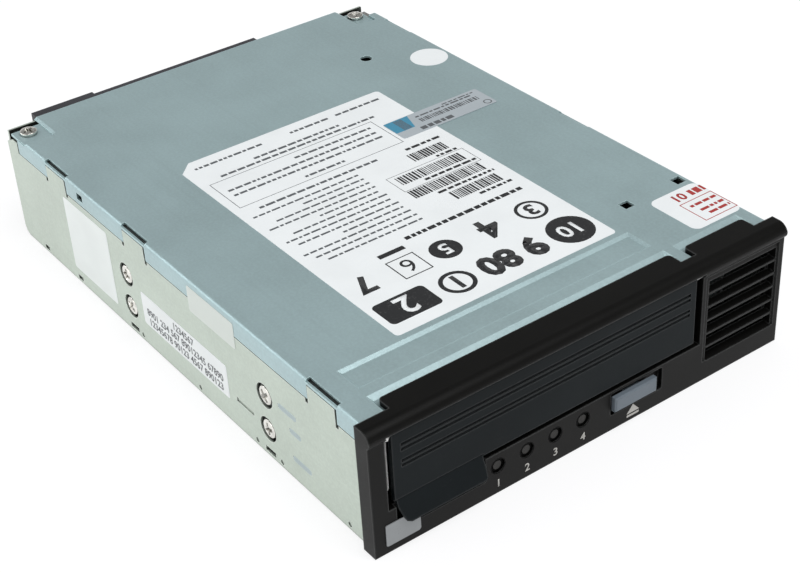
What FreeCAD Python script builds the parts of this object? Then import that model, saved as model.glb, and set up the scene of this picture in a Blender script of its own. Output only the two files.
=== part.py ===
"""Half-height data tape drive: a sheet-steel chassis with a moulded front bezel,
a hinged cartridge door, a lowering cartridge carriage and a reel-to-reel tape deck.

Frame while drawing: +X right seen from the front, +Y towards the rear, +Z up,
y = 0 on the back plane of the bezel, z = 0 on the underside, x = 0 on the centre line.
Every piece is shifted along Y when it is written out, so that the origin of the
finished part lies under the middle of its bounding box.  Units are millimetres.
"""
import FreeCAD, Part
import math
import os

V = FreeCAD.Vector

# ------------------------------------------------------------------ driving sizes
CHASSIS_WIDTH = 146.0            # standard width of a 5.25 inch bay device
CHASSIS_HALF = CHASSIS_WIDTH / 2
CHASSIS_LENGTH = 205.8           # behind the bezel
COVER_TOP = 41.0                 # top face of the cover
STEEL = 1.0                      # chassis sheet
COVER_STEEL = 0.8                # cover sheet
SKIRT_BOTTOM = 34.7              # lower edge of the cover's side skirts
FIT_GAP = 0.1                    # clearance between fixed neighbours
UNDER_COVER = COVER_TOP - COVER_STEEL - FIT_GAP

BEZEL_WIDTH = 149.4
BEZEL_HALF = BEZEL_WIDTH / 2
BEZEL_HEIGHT = 41.65
BEZEL_FRONT = -5.2               # front face of the bezel's flat body
BEZEL_SKIN = 2.2                 # moulded wall thickness
NOSE_FRONT = -6.2                # foremost line of the visor along the top

# standard side and bottom fixing holes of a 5.25 inch device
HOLE_ROWS_Y = (47.4, 126.65)
HOLE_ROWS_Z = (10.0, 21.84)
BOTTOM_HOLE_X = 139.7 / 2
FIXING_R = 1.5                   # M3
TAPPED_R = 1.25                  # tapping size of the left fixings, which hold their screws
ACCESS_R = 4.0                   # round holes in the side sheet round each fixing

# data cartridge and the bay that takes it
CARTRIDGE_WIDTH = 105.4
CARTRIDGE_LENGTH = 102.0
CARTRIDGE_THICK = 21.5
BAY_CENTRE_X = -13.9
BAY_FRONT_Y = 4.5
CARTRIDGE_FLOOR_Z = 14.8         # cartridge underside while it is being loaded
LOAD_DROP = 4.5                  # the carriage lowers this much on to the drive hub
CAM_TRAVEL = 16.0                # cam plates slide this much rearwards

# window and door in the bezel
WINDOW = (-69.4, 42.0, 13.8, 38.6)          # x low, x high, z low, z high
DOOR = (-67.2, 39.4, 15.4)                  # x low, x high, z low
DOOR_THICK = 1.8
HINGE_Y = -4.2
HINGE_Z = 37.25
HINGE_PIN_R = 0.6

# front controls
LED_XS = [-33.3 + 10.15 * i for i in range(4)]
LED_Z = 9.3
LED_RECESS_R = 2.35
LED_RECESS_DEPTH = 2.0
LIGHT_PIPE_R = 1.4
BUTTON = (7.8, 23.8, 7.1, 11.9)             # x low, x high, z low, z high
BUTTON_FRONT = -7.0
POCKET = (7.4, 27.2, 5.4, 12.9)
PANEL_BOARD_Y = 3.4                         # front face of the light and switch board
STAKE_XS = (-38.0, 28.0)                    # heat stakes that hold it
STAKE_Z = 11.0
TAB = (-66.6, -38.2)                        # finger tab of the door, x range
TAB_TIP = (-7.4, 8.7)                       # its lower edge, y and z

# cooling louvre at the right of the bezel
GRILLE = (44.9, 72.2)
GRILLE_TOP_Z = 33.9
GRILLE_PITCH = 4.7
GRILLE_SLOT = 3.6
GRILLE_COUNT = 6

# tape deck
DECK_BOTTOM = 7.3
DECK_TOP = 8.5
BOARD_BOTTOM = 2.6
BOARD_TOP = 4.2
HUB_AXIS = (BAY_CENTRE_X, 57.0)
REEL_AXIS = (BAY_CENTRE_X, 160.0)
REEL_R = 36.0
TAPE_LOW = 14.4
TAPE_HIGH = 27.6
ROLLER_R = 4.0
ROLLER_X = -59.0
ROLLER_YS = (116.0, 150.0)
HEAD_Y = 133.0

# loading gear train
GEAR_MODULE = 0.8
GEAR_TEETH = 18
PINION_TEETH = 12
GEAR_LOW = 19.5
GEAR_HIGH = 23.5
RACK_PITCH_X = 44.6
GEAR_Y = 129.0
GEAR_X = RACK_PITCH_X + GEAR_MODULE * GEAR_TEETH / 2 + 0.08
PINION_X = GEAR_X + GEAR_MODULE * (GEAR_TEETH + PINION_TEETH) / 2 + 0.1

REAR_Y = 211.0                   # rearmost face, the thick end of the connector block
SHIFT_Y = -(TAB_TIP[0] + REAR_Y) / 2


# ------------------------------------------------------------------ small helpers
def box(x0, x1, y0, y1, z0, z1):
    """A block between two corners."""
    return Part.makeBox(x1 - x0, y1 - y0, z1 - z0, V(x0, y0, z0))


def rod(radius, start, end):
    """A round bar from one point to another."""
    start, end = V(*start), V(*end)
    return Part.makeCylinder(radius, start.distanceToPoint(end), start, end - start)


def post(radius, x, y, z0, z1):
    """A round bar standing along Z."""
    return rod(radius, (x, y, z0), (x, y, z1))


def prism_x(points, x0, x1):
    """A (y, z) outline run along X."""
    loop = [V(x0, y, z) for y, z in points]
    return Part.Face(Part.makePolygon(loop + loop[:1])).extrude(V(x1 - x0, 0, 0))


def prism_y(points, y0, y1):
    """An (x, z) outline run along Y."""
    loop = [V(x, y0, z) for x, z in points]
    return Part.Face(Part.makePolygon(loop + loop[:1])).extrude(V(0, y1 - y0, 0))


def prism_z(points, z0, z1):
    """An (x, y) outline run along Z."""
    loop = [V(x, y, z0) for x, y in points]
    return Part.Face(Part.makePolygon(loop + loop[:1])).extrude(V(0, 0, z1 - z0))


def turned(section):
    """An (r, z) outline turned round the Z axis."""
    loop = [V(r, 0, z) for r, z in section]
    return Part.Face(Part.makePolygon(loop + loop[:1])).revolve(V(0, 0, 0), V(0, 0, 1), 360)


def fuse(shapes):
    """One clean solid from overlapping shapes."""
    shapes = list(shapes)
    joined = shapes[0].fuse(shapes[1:]) if len(shapes) > 1 else shapes[0]
    return joined.removeSplitter()


def cut(shape, tools):
    """A shape less several others."""
    return shape.cut(list(tools))


def soften(shape, radius, direction):
    """Round every straight edge that runs along a direction."""
    wanted = []
    for edge in shape.Edges:
        if edge.Curve.TypeId == "Part::GeomLine":
            run = edge.tangentAt(edge.FirstParameter)
            if abs(abs(run.dot(direction)) - 1) < 1e-6:
                wanted.append(edge)
    return shape.makeFillet(radius, wanted)


def mirrored_x(shape):
    """The same shape on the other side of the centre line."""
    return shape.mirror(V(0, 0, 0), V(1, 0, 0))


def both_sides(shape):
    """A shape and its mirror image."""
    return [shape, mirrored_x(shape)]


def group(shapes):
    """Separate identical solids kept together in one file."""
    return Part.makeCompound(list(shapes))


# ------------------------------------------------------------------ chassis sheets
LEFT_TABS = ((163.2, 176.0), (111.6, 124.4), (11.2, 24.0))
RIGHT_TABS = ((173.8, 187.0), (77.8, 90.2))
TAB_TOP = 39.2
JOGGLE = 0.9
RELIEF = 1.3                     # bend relief beside each tab


def side_wall(tabs):
    """Left side sheet with its locking tabs and the joggled lip the skirt laps over."""
    outer = -CHASSIS_HALF
    inner = outer + STEEL
    rear = CHASSIS_LENGTH
    top = SKIRT_BOTTOM - 0.3
    outline = [(FIT_GAP, 0), (rear - 3, 0), (rear - 0.9, 0.9), (rear, 3), (rear, 36.2),
               (rear - 4.6, 38.4), (rear - 8.0, 38.4), (rear - 8.0, top), (FIT_GAP, top)]
    wall = prism_x(outline, outer, inner)
    pieces = [wall]
    for low, high in tabs:
        pieces.append(box(outer, inner, low, high, top - 1, TAB_TOP))
    pieces.append(box(inner, inner + JOGGLE, 6.0, rear - 16.0, top - 1.4, UNDER_COVER))
    wall = fuse(pieces)
    holes = []
    for y in HOLE_ROWS_Y:
        for z in HOLE_ROWS_Z:
            holes.append(rod(ACCESS_R, (outer - 1, y, z), (inner + 0.5, y, z)))
        holes.append(box(outer - 1, inner + 0.2, y - 2.6, y + 2.6, STEEL + 0.1, 2.8))
    for y in (188.7, 163.9):
        holes.append(box(outer - 1, outer + 0.6, y - 1.6, y + 1.6, 0.9, 2.4))
    for low, high in tabs:
        for start, end in ((low - RELIEF, low), (high, high + RELIEF)):
            holes.append(box(outer - 1, inner + JOGGLE + 0.5, start, end, top - 1.2, top + 1.6))
    for y in (121.4, 86.3, 54.4, 41.5, 8.5):
        holes.append(rod(0.8, (outer - 1, y, 1.8), (outer + 0.3, y, 1.8)))
    for low, high, z in ((54.7, 63.8, 11.0), (31.4, 40.3, 23.0), (29.8, 35.4, 17.3), (26.0, 35.0, 7.8)):
        holes.append(box(outer - 1, outer + 0.3, low, high, z - 0.7, z + 0.7))
    return cut(wall, holes)


def base_chassis():
    """Floor, two side walls and rear wall bent from one sheet."""
    rear = CHASSIS_LENGTH
    floor = box(-CHASSIS_HALF + 0.5, CHASSIS_HALF - 0.5, FIT_GAP, rear - 0.5, 0, STEEL)
    stiffeners = [box(-45, 45, y - 4, y + 4, -1, 0.4) for y in (30, 105, 180)]
    rear_wall = box(-CHASSIS_HALF + 0.5, CHASSIS_HALF - 0.5, rear - 1.5, rear - 0.5, 0, UNDER_COVER)
    right = mirrored_x(side_wall(RIGHT_TABS))
    body = fuse([floor, rear_wall, side_wall(LEFT_TABS), right])
    openings = list(stiffeners)
    openings.append(box(-61.2, 28.0, rear - 2, rear, 20.0, 41))
    for x in (-BOTTOM_HOLE_X, BOTTOM_HOLE_X):
        for y in HOLE_ROWS_Y:
            openings.append(post(FIXING_R, x, y, -1, 2))
    for x in range(36, 66, 6):
        openings.append(soften(box(x, x + 3.0, rear - 2, rear, 8, 30), 1.2, V(0, 1, 0)))
    return cut(body, openings)


def cover_slots(tabs):
    """Slots along the left fold and the notches that take the chassis tabs."""
    tools = []
    for low, high in tabs:
        tools.append(box(-CHASSIS_HALF - 1, -71.3, low - 1.2, high + 0.4, 40.15, 42))
        tools.append(box(-CHASSIS_HALF - 1, -72.0, low - 0.9, high + 0.15, 34, TAB_TOP + 0.3))
    return tools


# corners of the cover that step down one sheet for the screw heads
SUNK_TOP = COVER_TOP - 0.9
CORNER_Y = 191.2                 # the step's line
CORNER_REAR = 202.0
CORNER_X = 62.4
RIGHT_STRIP_X = 69.4             # outside this the right corner stays at full height
RIGHT_STRIP_REAR = 195.0
SCREW_PLACES = ((-68.0, 198.2), (65.5, 198.2))

# dropped margins that the bezel's two rear lips lie on
MARGINS = ((-65.0, 39.0), (42.6, 68.2))
MARGIN_TOP = 40.0
CHEEK = 1.0                      # sloping end of a margin
LIPS = ((-63.8, 37.9), (43.7, 67.0))
LIP_REAR = 5.0

# sunk stiffening bead
BEAD = (-64.8, 38.2)
BEAD_YS = (12.1, 21.9)
BEAD_DEPTH = 0.7


def sunk_corners():
    """Stepped-down corner sheets and the risers that join them to the main sheet."""
    low, high, lap = SUNK_TOP - COVER_STEEL, COVER_TOP - COVER_STEEL + 0.3, 1.0
    y0, y1 = CORNER_Y - lap, CORNER_REAR
    x0, x1, turn_y = CORNER_X - lap, RIGHT_STRIP_X, RIGHT_STRIP_REAR - 0.6
    right = [(x0, y0), (x1 + lap, y0), (x1 + lap, turn_y), (x1, turn_y), (x1, y1), (x0, y1)]
    return [box(-CHASSIS_HALF + 0.3, -x0, y0, y1, low, SUNK_TOP),
            prism_z(right, low, SUNK_TOP),
            box(-CHASSIS_HALF + 0.3, -x0, y0, CORNER_Y, low, high),
            box(x0, x1, y0, CORNER_Y, low, high)] + both_sides(box(x0, CORNER_X, y0, y1, low, high))


def corner_pockets():
    """What the main sheet loses at its rear corners."""
    edge, rear = CHASSIS_HALF + 1, CHASSIS_LENGTH + 1
    return [box(-edge, -CORNER_X, CORNER_Y, rear, 30, 42),
            box(CORNER_X, RIGHT_STRIP_X, CORNER_Y, rear, 30, 42),
            box(RIGHT_STRIP_X - 0.1, edge, RIGHT_STRIP_REAR, rear, 30, 42)]


def corner_bevels():
    """Sloping edges of the risers, from the top face down to the sunk corners."""
    edge = CHASSIS_HALF + 1

    def bevel(line):
        return [(line - 1.0, COVER_TOP + 0.01), (line + 0.5, COVER_TOP + 0.01), (line + 0.5, SUNK_TOP)]

    return [prism_x(bevel(CORNER_Y), -edge, -CORNER_X), prism_x(bevel(CORNER_Y), CORNER_X, RIGHT_STRIP_X),
            *both_sides(prism_y(bevel(CORNER_X), CORNER_Y, CHASSIS_LENGTH + 1))]


def cover_margin(x0, x1):
    """Dropped strip of the sheet: level part, slope, a short lap into the main sheet, sloping ends."""
    start, rise, end = 0.6, 6.4, 8.2
    under, low = COVER_TOP - COVER_STEEL, MARGIN_TOP - COVER_STEEL
    outline = [(start, low), (rise + 0.3, low), (end + 0.3, under), (end + 1.5, under),
               (end + 1.5, COVER_TOP), (end, COVER_TOP), (rise, MARGIN_TOP), (start, MARGIN_TOP)]
    pieces = [prism_x(outline, x0, x1)]
    for edge, inward in ((x0, 1), (x1, -1)):
        cheek = [(edge - 0.4 * inward, COVER_TOP), (edge, COVER_TOP), (edge + CHEEK * inward, MARGIN_TOP),
                 (edge + CHEEK * inward, low), (edge - 0.4 * inward, low)]
        pieces.append(prism_y(cheek, start, end + 0.2))
    return fuse(pieces)


def sunk_bead():
    """Pan of the bead below the sheet, and the hollow pressed into it."""
    top, under = COVER_TOP, COVER_TOP - COVER_STEEL
    (y0, y1), depth, slope = BEAD_YS, BEAD_DEPTH, 1.2
    pan = prism_x([(y1 + 0.6, under + 0.2), (y1 + 0.6, under), (y1 - slope + 0.3, under - depth),
                   (y0 + slope - 0.3, under - depth), (y0 - 0.6, under), (y0 - 0.6, under + 0.2)],
                  BEAD[0] - 0.4, BEAD[1] + 0.4)
    hollow = prism_x([(y1 + 0.12, top + 0.07), (y1 - slope, top - depth), (y0 + slope, top - depth),
                      (y0 - 0.12, top + 0.07)], *BEAD)
    ends = prism_y([(BEAD[0], top + 0.1), (BEAD[0] + slope, top - depth - 0.1),
                    (BEAD[1] - slope, top - depth - 0.1), (BEAD[1], top + 0.1)], y0 - 1, y1 + 1)
    return pan, hollow.common(ends)


def cover_shell():
    """Plain folded cover: top sheet and the two side skirts."""
    half, front, rear = CHASSIS_HALF, 0.3, CHASSIS_LENGTH - 0.2
    outer = soften(box(-half, half, front, rear, 30, COVER_TOP), 1.2, V(0, 1, 0))
    hollow = box(-half + COVER_STEEL, half - COVER_STEEL, front - 1, rear + 1, 20, COVER_TOP - COVER_STEEL)
    return cut(outer, [hollow, box(-half - 1, half + 1, front - 1, rear + 1, 29, SKIRT_BOTTOM)])


def top_cover():
    """Cover sheet: skirts, sunk bead, two dropped front margins and two screw corners."""
    half = CHASSIS_HALF
    front_gaps = [box(x0, x1, 0, 8.8, 38, 43) for x0, x1 in MARGINS]
    margins = [cover_margin(x0, x1) for x0, x1 in MARGINS]
    left_skirt = box(-half, -half + COVER_STEEL, CORNER_Y - 1.5, 197.0, SKIRT_BOTTOM, SUNK_TOP - 0.35)
    pan, hollow = sunk_bead()
    shell = cut(cover_shell(), corner_pockets() + front_gaps)
    shell = fuse([shell, left_skirt, pan] + margins + sunk_corners())
    tools = [hollow, post(2.1, 47.5, 165.8, 38, 43)] + corner_bevels()
    for x, y in ((48.2, 33.2), (69.6, 33.4)):
        tools.append(box(x - 1.8, x + 1.8, y - 1.8, y + 1.8, 38, 43))
    for x, y in SCREW_PLACES:
        tools.append(post(1.7, x, y, 38, 43))
    tools += cover_slots(LEFT_TABS)
    tools += [mirrored_x(tool) for tool in cover_slots(RIGHT_TABS)]
    tools.append(box(-half - 0.5, -half + 1.0, 150.8, 154.6, 36.4, 38.8))
    return cut(shell, tools)


def pan_screw(head_r, head_h, shank_r, length):
    """Cross-head pan screw: head seated at z = 0, shank hanging down."""
    rim = 0.45 * head_h
    crown = Part.makeCone(head_r, 0.72 * head_r, head_h - rim, V(0, 0, rim))
    head = fuse([Part.makeCylinder(head_r, rim), crown])
    shank = Part.makeCylinder(shank_r, length + 0.2, V(0, 0, -length))
    cross = fuse([box(-head_r * 0.6, head_r * 0.6, -0.35, 0.35, head_h - 0.8, head_h + 1),
                  box(-0.35, 0.35, -head_r * 0.6, head_r * 0.6, head_h - 0.8, head_h + 1)])
    return cut(fuse([head, shank]), [cross])


def placed(shape, position, axis=(0, 0, 1), turn=0):
    """A copy of a shape with its Z axis turned to another axis."""
    item = shape.copy()
    item.rotate(V(0, 0, 0), V(0, 0, 1), turn)
    spin = FreeCAD.Rotation(V(0, 0, 1), V(*axis))
    item.Placement = FreeCAD.Placement(V(*position), spin).multiply(item.Placement)
    return item


def cover_screws():
    """Two screws through the cover's rear corners."""
    screw = pan_screw(2.9, 1.4, 1.25, 3.4)
    return group(placed(screw, (x, y, SUNK_TOP), turn=20) for x, y in SCREW_PLACES)


def cover_screw_blocks():
    """Two riveted steel blocks that the cover screws bite into."""
    blocks = []
    for x, x0, x1 in ((-68.0, -72.0, -64.8), (65.5, 62.6, 72.0)):
        body = box(x0, x1, 195.0, 201.6, 32.0, SUNK_TOP - COVER_STEEL)
        blocks.append(cut(body, [post(1.3, x, 198.2, 31, 40)]))
    return group(blocks)


def side_mounting_screws():
    """Four mounting screws seated in the left fixing holes."""
    screw = pan_screw(3.2, 1.6, TAPPED_R - 0.08, 1.35)
    seat = -71.6
    places = [(seat, y, z) for y in HOLE_ROWS_Y for z in HOLE_ROWS_Z]
    return group(placed(screw, p, axis=(-1, 0, 0), turn=15 + 22 * i) for i, p in enumerate(places))


# ------------------------------------------------------------------ bezel and door
def bezel_profile():
    """End outline of the bezel in (y, z): flat face with a rounded visor on top."""
    top = BEZEL_HEIGHT

    def at(y, z):
        return V(-BEZEL_HALF, y, z)

    edges = [
        Part.LineSegment(at(0, 0), at(0, top)).toShape(),
        Part.LineSegment(at(0, top), at(-2.3, top)).toShape(),
        Part.Arc(at(-2.3, top), at(-4.9, 40.95), at(NOSE_FRONT, 39.2)).toShape(),
        Part.Arc(at(NOSE_FRONT, 39.2), at(-6.05, 38.0), at(BEZEL_FRONT, 37.0)).toShape(),
        Part.LineSegment(at(BEZEL_FRONT, 37.0), at(BEZEL_FRONT, 0)).toShape(),
        Part.LineSegment(at(BEZEL_FRONT, 0), at(0, 0)).toShape(),
    ]
    return Part.Face(Part.Wire(edges))


def louvre_slots():
    """Slots between the slanted slats of the cooling grille."""
    slots = []
    for i in range(GRILLE_COUNT):
        top = GRILLE_TOP_Z - i * GRILLE_PITCH
        low = top - GRILLE_SLOT
        outline = [(BEZEL_FRONT - 1, low - 0.5), (BEZEL_FRONT - 1, top), (0.5, top + 1.6), (0.5, low + 1.1)]
        slots.append(prism_x(outline, GRILLE[0], GRILLE[1]))
    return slots


def front_bezel():
    """Moulded bezel with window, louvred grille, light holes and button pocket."""
    body = bezel_profile().extrude(V(BEZEL_WIDTH, 0, 0))
    lips = [soften(box(x0, x1, -3.0, LIP_REAR, MARGIN_TOP + 0.15, BEZEL_HEIGHT), 1.4, V(0, 0, 1))
            for x0, x1 in LIPS]
    body = fuse([body] + lips)
    skin_back = BEZEL_FRONT + BEZEL_SKIN
    tools = [box(WINDOW[0], WINDOW[1], -9, 1, WINDOW[2], WINDOW[3])]
    # hollow back: behind the lower rail and behind the grille
    tools.append(box(-35.8, 42.0, skin_back, 1, 1.8, 12.2))
    tools.append(box(43.6, 71.95, -2.2, 1, 1.8, 38.8))
    # finger recess behind the door's tab
    tools.append(box(-67.0, -37.6, BEZEL_FRONT - 1, BEZEL_FRONT + 1.8, 6.0, WINDOW[2] + 0.5))
    # shallow frame round the grille
    tools.append(box(GRILLE[0] - 1.5, GRILLE[1] + 0.6, BEZEL_FRONT - 0.5, BEZEL_FRONT + 0.5, 6.8, 36.2))
    tools += louvre_slots()
    for side, reach in ((WINDOW[0], -1), (WINDOW[1], 1)):
        tools.append(rod(HINGE_PIN_R + 0.05, (side - reach, HINGE_Y, HINGE_Z),
                         (side + 1.3 * reach, HINGE_Y, HINGE_Z)))
    body = cut(body, tools)
    bosses = [rod(LED_RECESS_R + 0.9, (x, skin_back - 0.1, LED_Z), (x, 0, LED_Z)) for x in LED_XS]
    guide = box(BUTTON[0] + 3.2, BUTTON[1] - 3.2, skin_back - 0.1, 0, BUTTON[2] - 0.4, BUTTON[3] + 0.4)
    body = fuse([body, guide] + bosses)
    tools = []
    for x in LED_XS:
        tools.append(rod(LED_RECESS_R, (x, BEZEL_FRONT - 1, LED_Z), (x, BEZEL_FRONT + LED_RECESS_DEPTH, LED_Z)))
        tools.append(rod(LIGHT_PIPE_R + 0.05, (x, BEZEL_FRONT, LED_Z), (x, 1, LED_Z)))
    pocket = box(POCKET[0], POCKET[1], BEZEL_FRONT - 1, BEZEL_FRONT + 1.7, POCKET[2], POCKET[3])
    tools.append(soften(pocket, 0.6, V(0, 1, 0)))
    tools.append(box(12.8, 19.8, BEZEL_FRONT, 1, BUTTON[2] + 0.9, BUTTON[3] - 0.9))
    return fuse([cut(body, tools)] + bezel_latches() + board_stakes())


def bezel_latches():
    """Four sprung arms that hold the bezel in the chassis."""
    arms = []
    for z in (10.5, 27.0):
        for sign in (-1, 1):
            near, far = sorted((sign * 70.7, sign * 71.9))
            arms.append(box(near, far, -2.4, 5.2, z - 2.5, z + 2.5))
    return arms


def board_stakes():
    """Two shouldered posts that carry the light and switch board."""
    stakes = []
    for x in STAKE_XS:
        stakes.append(rod(1.8, (x, BEZEL_FRONT + BEZEL_SKIN - 0.1, STAKE_Z), (x, PANEL_BOARD_Y, STAKE_Z)))
        stakes.append(rod(1.05, (x, 0, STAKE_Z), (x, PANEL_BOARD_Y + 1.8, STAKE_Z)))
    return stakes


def cartridge_door():
    """Door panel rolled round its hinge line, ribbed, with a flared finger tab."""
    x0, x1, low = DOOR
    half = DOOR_THICK / 2
    face, back = HINGE_Y - half, HINGE_Y + half
    panel = box(x0, x1, face, back, low, HINGE_Z)
    barrel = rod(half, (x0, HINGE_Y, HINGE_Z), (x1, HINGE_Y, HINGE_Z))
    tip_y, tip_z = TAB_TIP
    tab = prism_x([(face + 0.6, low + 1.2), (tip_y, tip_z), (tip_y + 0.9, tip_z),
                   (face + 0.4, low - 1.2), (half + HINGE_Y - 0.2, low), (half + HINGE_Y - 0.2, low + 1.2)],
                  *TAB)
    corner = 2.2
    side = [(TAB[0] - 1.0, low + 2), (TAB[0] - 0.6, low), (TAB[0] + 0.8, tip_z + corner),
            (TAB[0] + 1.4, tip_z + 0.7), (TAB[0] + 0.8 + corner, tip_z - 0.1),
            (TAB[1] - 0.9, tip_z - 0.1), (TAB[1] - 0.1, tip_z + 0.7), (TAB[1], tip_z + corner),
            (TAB[1], low + 2)]
    tab = tab.common(prism_y(side, tip_y - 1, back + 1))
    crease = box(TAB[0] - 0.6, TAB[1], face - 1, face + 0.55, low - 0.1, low + 0.7)
    door = fuse([cut(panel, [crease]), barrel, tab])
    grooves = []
    for z in (33.2, 31.6, 27.9, 26.4):
        grooves.append(box(-64.4, 37.3, face - 1, face + 0.45, z - 0.5, z + 0.5))
    for x, reach in ((x0, 1), (x1, -1)):
        grooves.append(rod(HINGE_PIN_R + 0.02, (x - reach, HINGE_Y, HINGE_Z),
                           (x + 4.0 * reach, HINGE_Y, HINGE_Z)))
    return cut(door, grooves)


def door_hinge_pins():
    """Two steel stub pins fixed in the door's ends."""
    left = rod(HINGE_PIN_R, (WINDOW[0] - 1.2, HINGE_Y, HINGE_Z), (DOOR[0] + 3.8, HINGE_Y, HINGE_Z))
    right = rod(HINGE_PIN_R, (DOOR[1] - 3.8, HINGE_Y, HINGE_Z), (WINDOW[1] + 1.2, HINGE_Y, HINGE_Z))
    return group([left, right])


def door_return_spring():
    """Torsion spring: turns round the left pin, a long leg down the end slot and a hooked foot."""
    wire, coil_r, turns, pitch, steps = 0.18, 1.0, 2, 0.5, 10
    x = WINDOW[0] + 0.5
    end_x = x + pitch * turns
    route = []
    for i in range(turns * steps + 1):
        angle = 2 * math.pi * i / steps
        route.append(V(x + pitch * i / steps, HINGE_Y + coil_r * math.cos(angle),
                       HINGE_Z - coil_r * math.sin(angle)))
    side = HINGE_Y + coil_r
    route += [V(end_x, side, z) for z in (34.5, 30.0, 24.0, 19.6)]
    route += [V(end_x - 0.5, side, 18.7), V(WINDOW[0] + 0.45, side, 18.6)]
    corners = ((-wire, -wire), (wire, -wire), (wire, wire), (-wire, wire))
    section = [route[0] + V(dx, dy, 0) for dx, dy in corners]
    profile = Part.makePolygon(section + section[:1])
    return Part.makePolygon(route).makePipeShell([profile], True, True, 1)


def eject_button():
    """Bevelled key cap with a stem and two retaining shoulders."""
    x0, x1, z0, z1 = BUTTON
    cap = box(x0, x1, BUTTON_FRONT, BEZEL_FRONT + 0.1, z0, z1)
    bevel = [e for e in cap.Edges if abs(e.CenterOfMass.y - BUTTON_FRONT) < 1e-6]
    cap = cap.makeChamfer(0.5, bevel)
    stem = box(13.0, 19.6, BEZEL_FRONT, 0.3, z0 + 1.1, z1 - 1.1)
    return fuse([cap, stem])


def led_light_pipes():
    """Four clear pipes from the light board to the front."""
    return group(rod(LIGHT_PIPE_R, (x, BEZEL_FRONT + 0.5, LED_Z), (x, 1.6, LED_Z)) for x in LED_XS)


def front_panel_board():
    """Small upright board behind the lower rail."""
    return cut(box(-40, 30, PANEL_BOARD_Y, PANEL_BOARD_Y + 1.2, 2.0, 13.0),
               [rod(1.1, (x, 3, STAKE_Z), (x, 5, STAKE_Z)) for x in STAKE_XS])


def status_leds():
    """Four surface lamps behind the light pipes."""
    return group(box(x - 1.3, x + 1.3, 1.9, PANEL_BOARD_Y, LED_Z - 0.9, LED_Z + 0.9) for x in LED_XS)


def eject_switch():
    """Push switch behind the button stem."""
    middle = (BUTTON[2] + BUTTON[3]) / 2
    body = box(13.3, 19.3, 2.6, PANEL_BOARD_Y, middle - 3, middle + 3)
    dome = rod(1.6, (16.3, 2.05, middle), (16.3, 2.7, middle))
    return fuse([body, dome])


# ------------------------------------------------------------------ electronics
def main_circuit_board():
    """Controller board under the deck with its fixing holes."""
    board = box(-69.0, 69.0, 20.0, 200.0, BOARD_BOTTOM, BOARD_TOP)
    holes = [post(1.6, x, y, 0, 10) for x in (-60, 60) for y in (26, 110, 194)]
    return cut(board, holes)


def board_spacers():
    """Six hexagonal spacers between floor, board and deck."""
    spacers = []
    for x in (-60, 60):
        for y in (26, 110, 194):
            ring = [(x + 2.6 * math.cos(math.radians(60 * k)), y + 2.6 * math.sin(math.radians(60 * k)))
                    for k in range(6)]
            spacers.append(prism_z(ring, STEEL, BOARD_BOTTOM - 0.02))
            spacers.append(prism_z(ring, BOARD_TOP + 0.02, DECK_BOTTOM - 0.02))
    return group(spacers)


def board_chips():
    """Processor, memory and power chips on the controller board."""
    sizes = ((-46, 182, 18), (30, 60, 18), (30, 90, 14), (-45, 90, 14), (48, 175, 12), (54, 142, 9))
    return group(box(x - s / 2, x + s / 2, y - s / 2, y + s / 2, BOARD_TOP, BOARD_TOP + 1.6)
                 for x, y, s in sizes)


def rear_connector_block():
    """Black moulded block with the power and data receptacles."""
    top, low = UNDER_COVER, 20.2
    body = fuse([box(-61.0, -37.7, 196.0, REAR_Y, low, top),
                 box(-38.0, 27.8, 196.0, 209.4, low, top)])
    power = [(-59.6, 26.0), (-59.6, 33.6), (-57.4, 35.8), (-41.6, 35.8), (-39.4, 33.6), (-39.4, 26.0)]
    data = box(-28.0, 16.0, 202.4, 213, 27.2, 32.4)
    key = box(-4.0, -2.4, 202.4, 213, 27.2, 28.6)
    shell = cut(body, [prism_y(power, 200.0, 213), cut(data, [key])])
    return cut(shell, [box(-36.0, 26.0, 195, 201.0, 22, 38)])


def power_pins():
    """Four round power contacts."""
    return group(rod(1.05, (-49.5 + 5.08 * (i - 1.5), 198.0, 28.4), (-49.5 + 5.08 * (i - 1.5), 208.6, 28.4))
                 for i in range(4))


def data_contact_tongue():
    """Contact blade in the data receptacle."""
    return fuse([box(-26.6, -5.2, 201.2, 208.2, 29.1, 30.6), box(-1.2, 14.6, 201.2, 208.2, 29.1, 30.6),
                 box(-26.6, 14.6, 201.2, 202.3, 28.9, 30.8)])


# ------------------------------------------------------------------ tape deck
def mechanism_deck():
    """Pressed deck plate with side flanges that carry the drive's fixing threads."""
    plate = box(-70.2, 70.2, 12.0, 198.0, DECK_BOTTOM, DECK_TOP)
    flange = prism_x([(14, DECK_BOTTOM), (196, DECK_BOTTOM), (196, 20), (190, 30), (30, 30), (14, 20)],
                     -71.6, -70.2)
    deck = fuse([plate] + both_sides(flange))
    holes = [post(15.0, HUB_AXIS[0], HUB_AXIS[1], 6, 10), post(7.0, REEL_AXIS[0], REEL_AXIS[1], 6, 10)]
    for y in HOLE_ROWS_Y:
        for z in HOLE_ROWS_Z:
            for sign, radius in ((-1, TAPPED_R), (1, FIXING_R)):
                holes.append(rod(radius, (sign * 69, y, z), (sign * 73, y, z)))
    for x in (-60, 60):
        for y in (26, 110, 194):
            holes.append(post(1.6, x, y, 6, 10))
    for x0, x1, y0, y1 in ((-58, -36, 76, 100), (8, 30, 76, 100), (50, 66, 60, 100)):
        holes.append(soften(box(x0, x1, y0, y1, 6, 10), 3, V(0, 0, 1)))
    return cut(deck, holes)


PIN_YS = (26.0, 92.0)
PIN_Z = 22.0
PIN_R = 1.2


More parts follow.
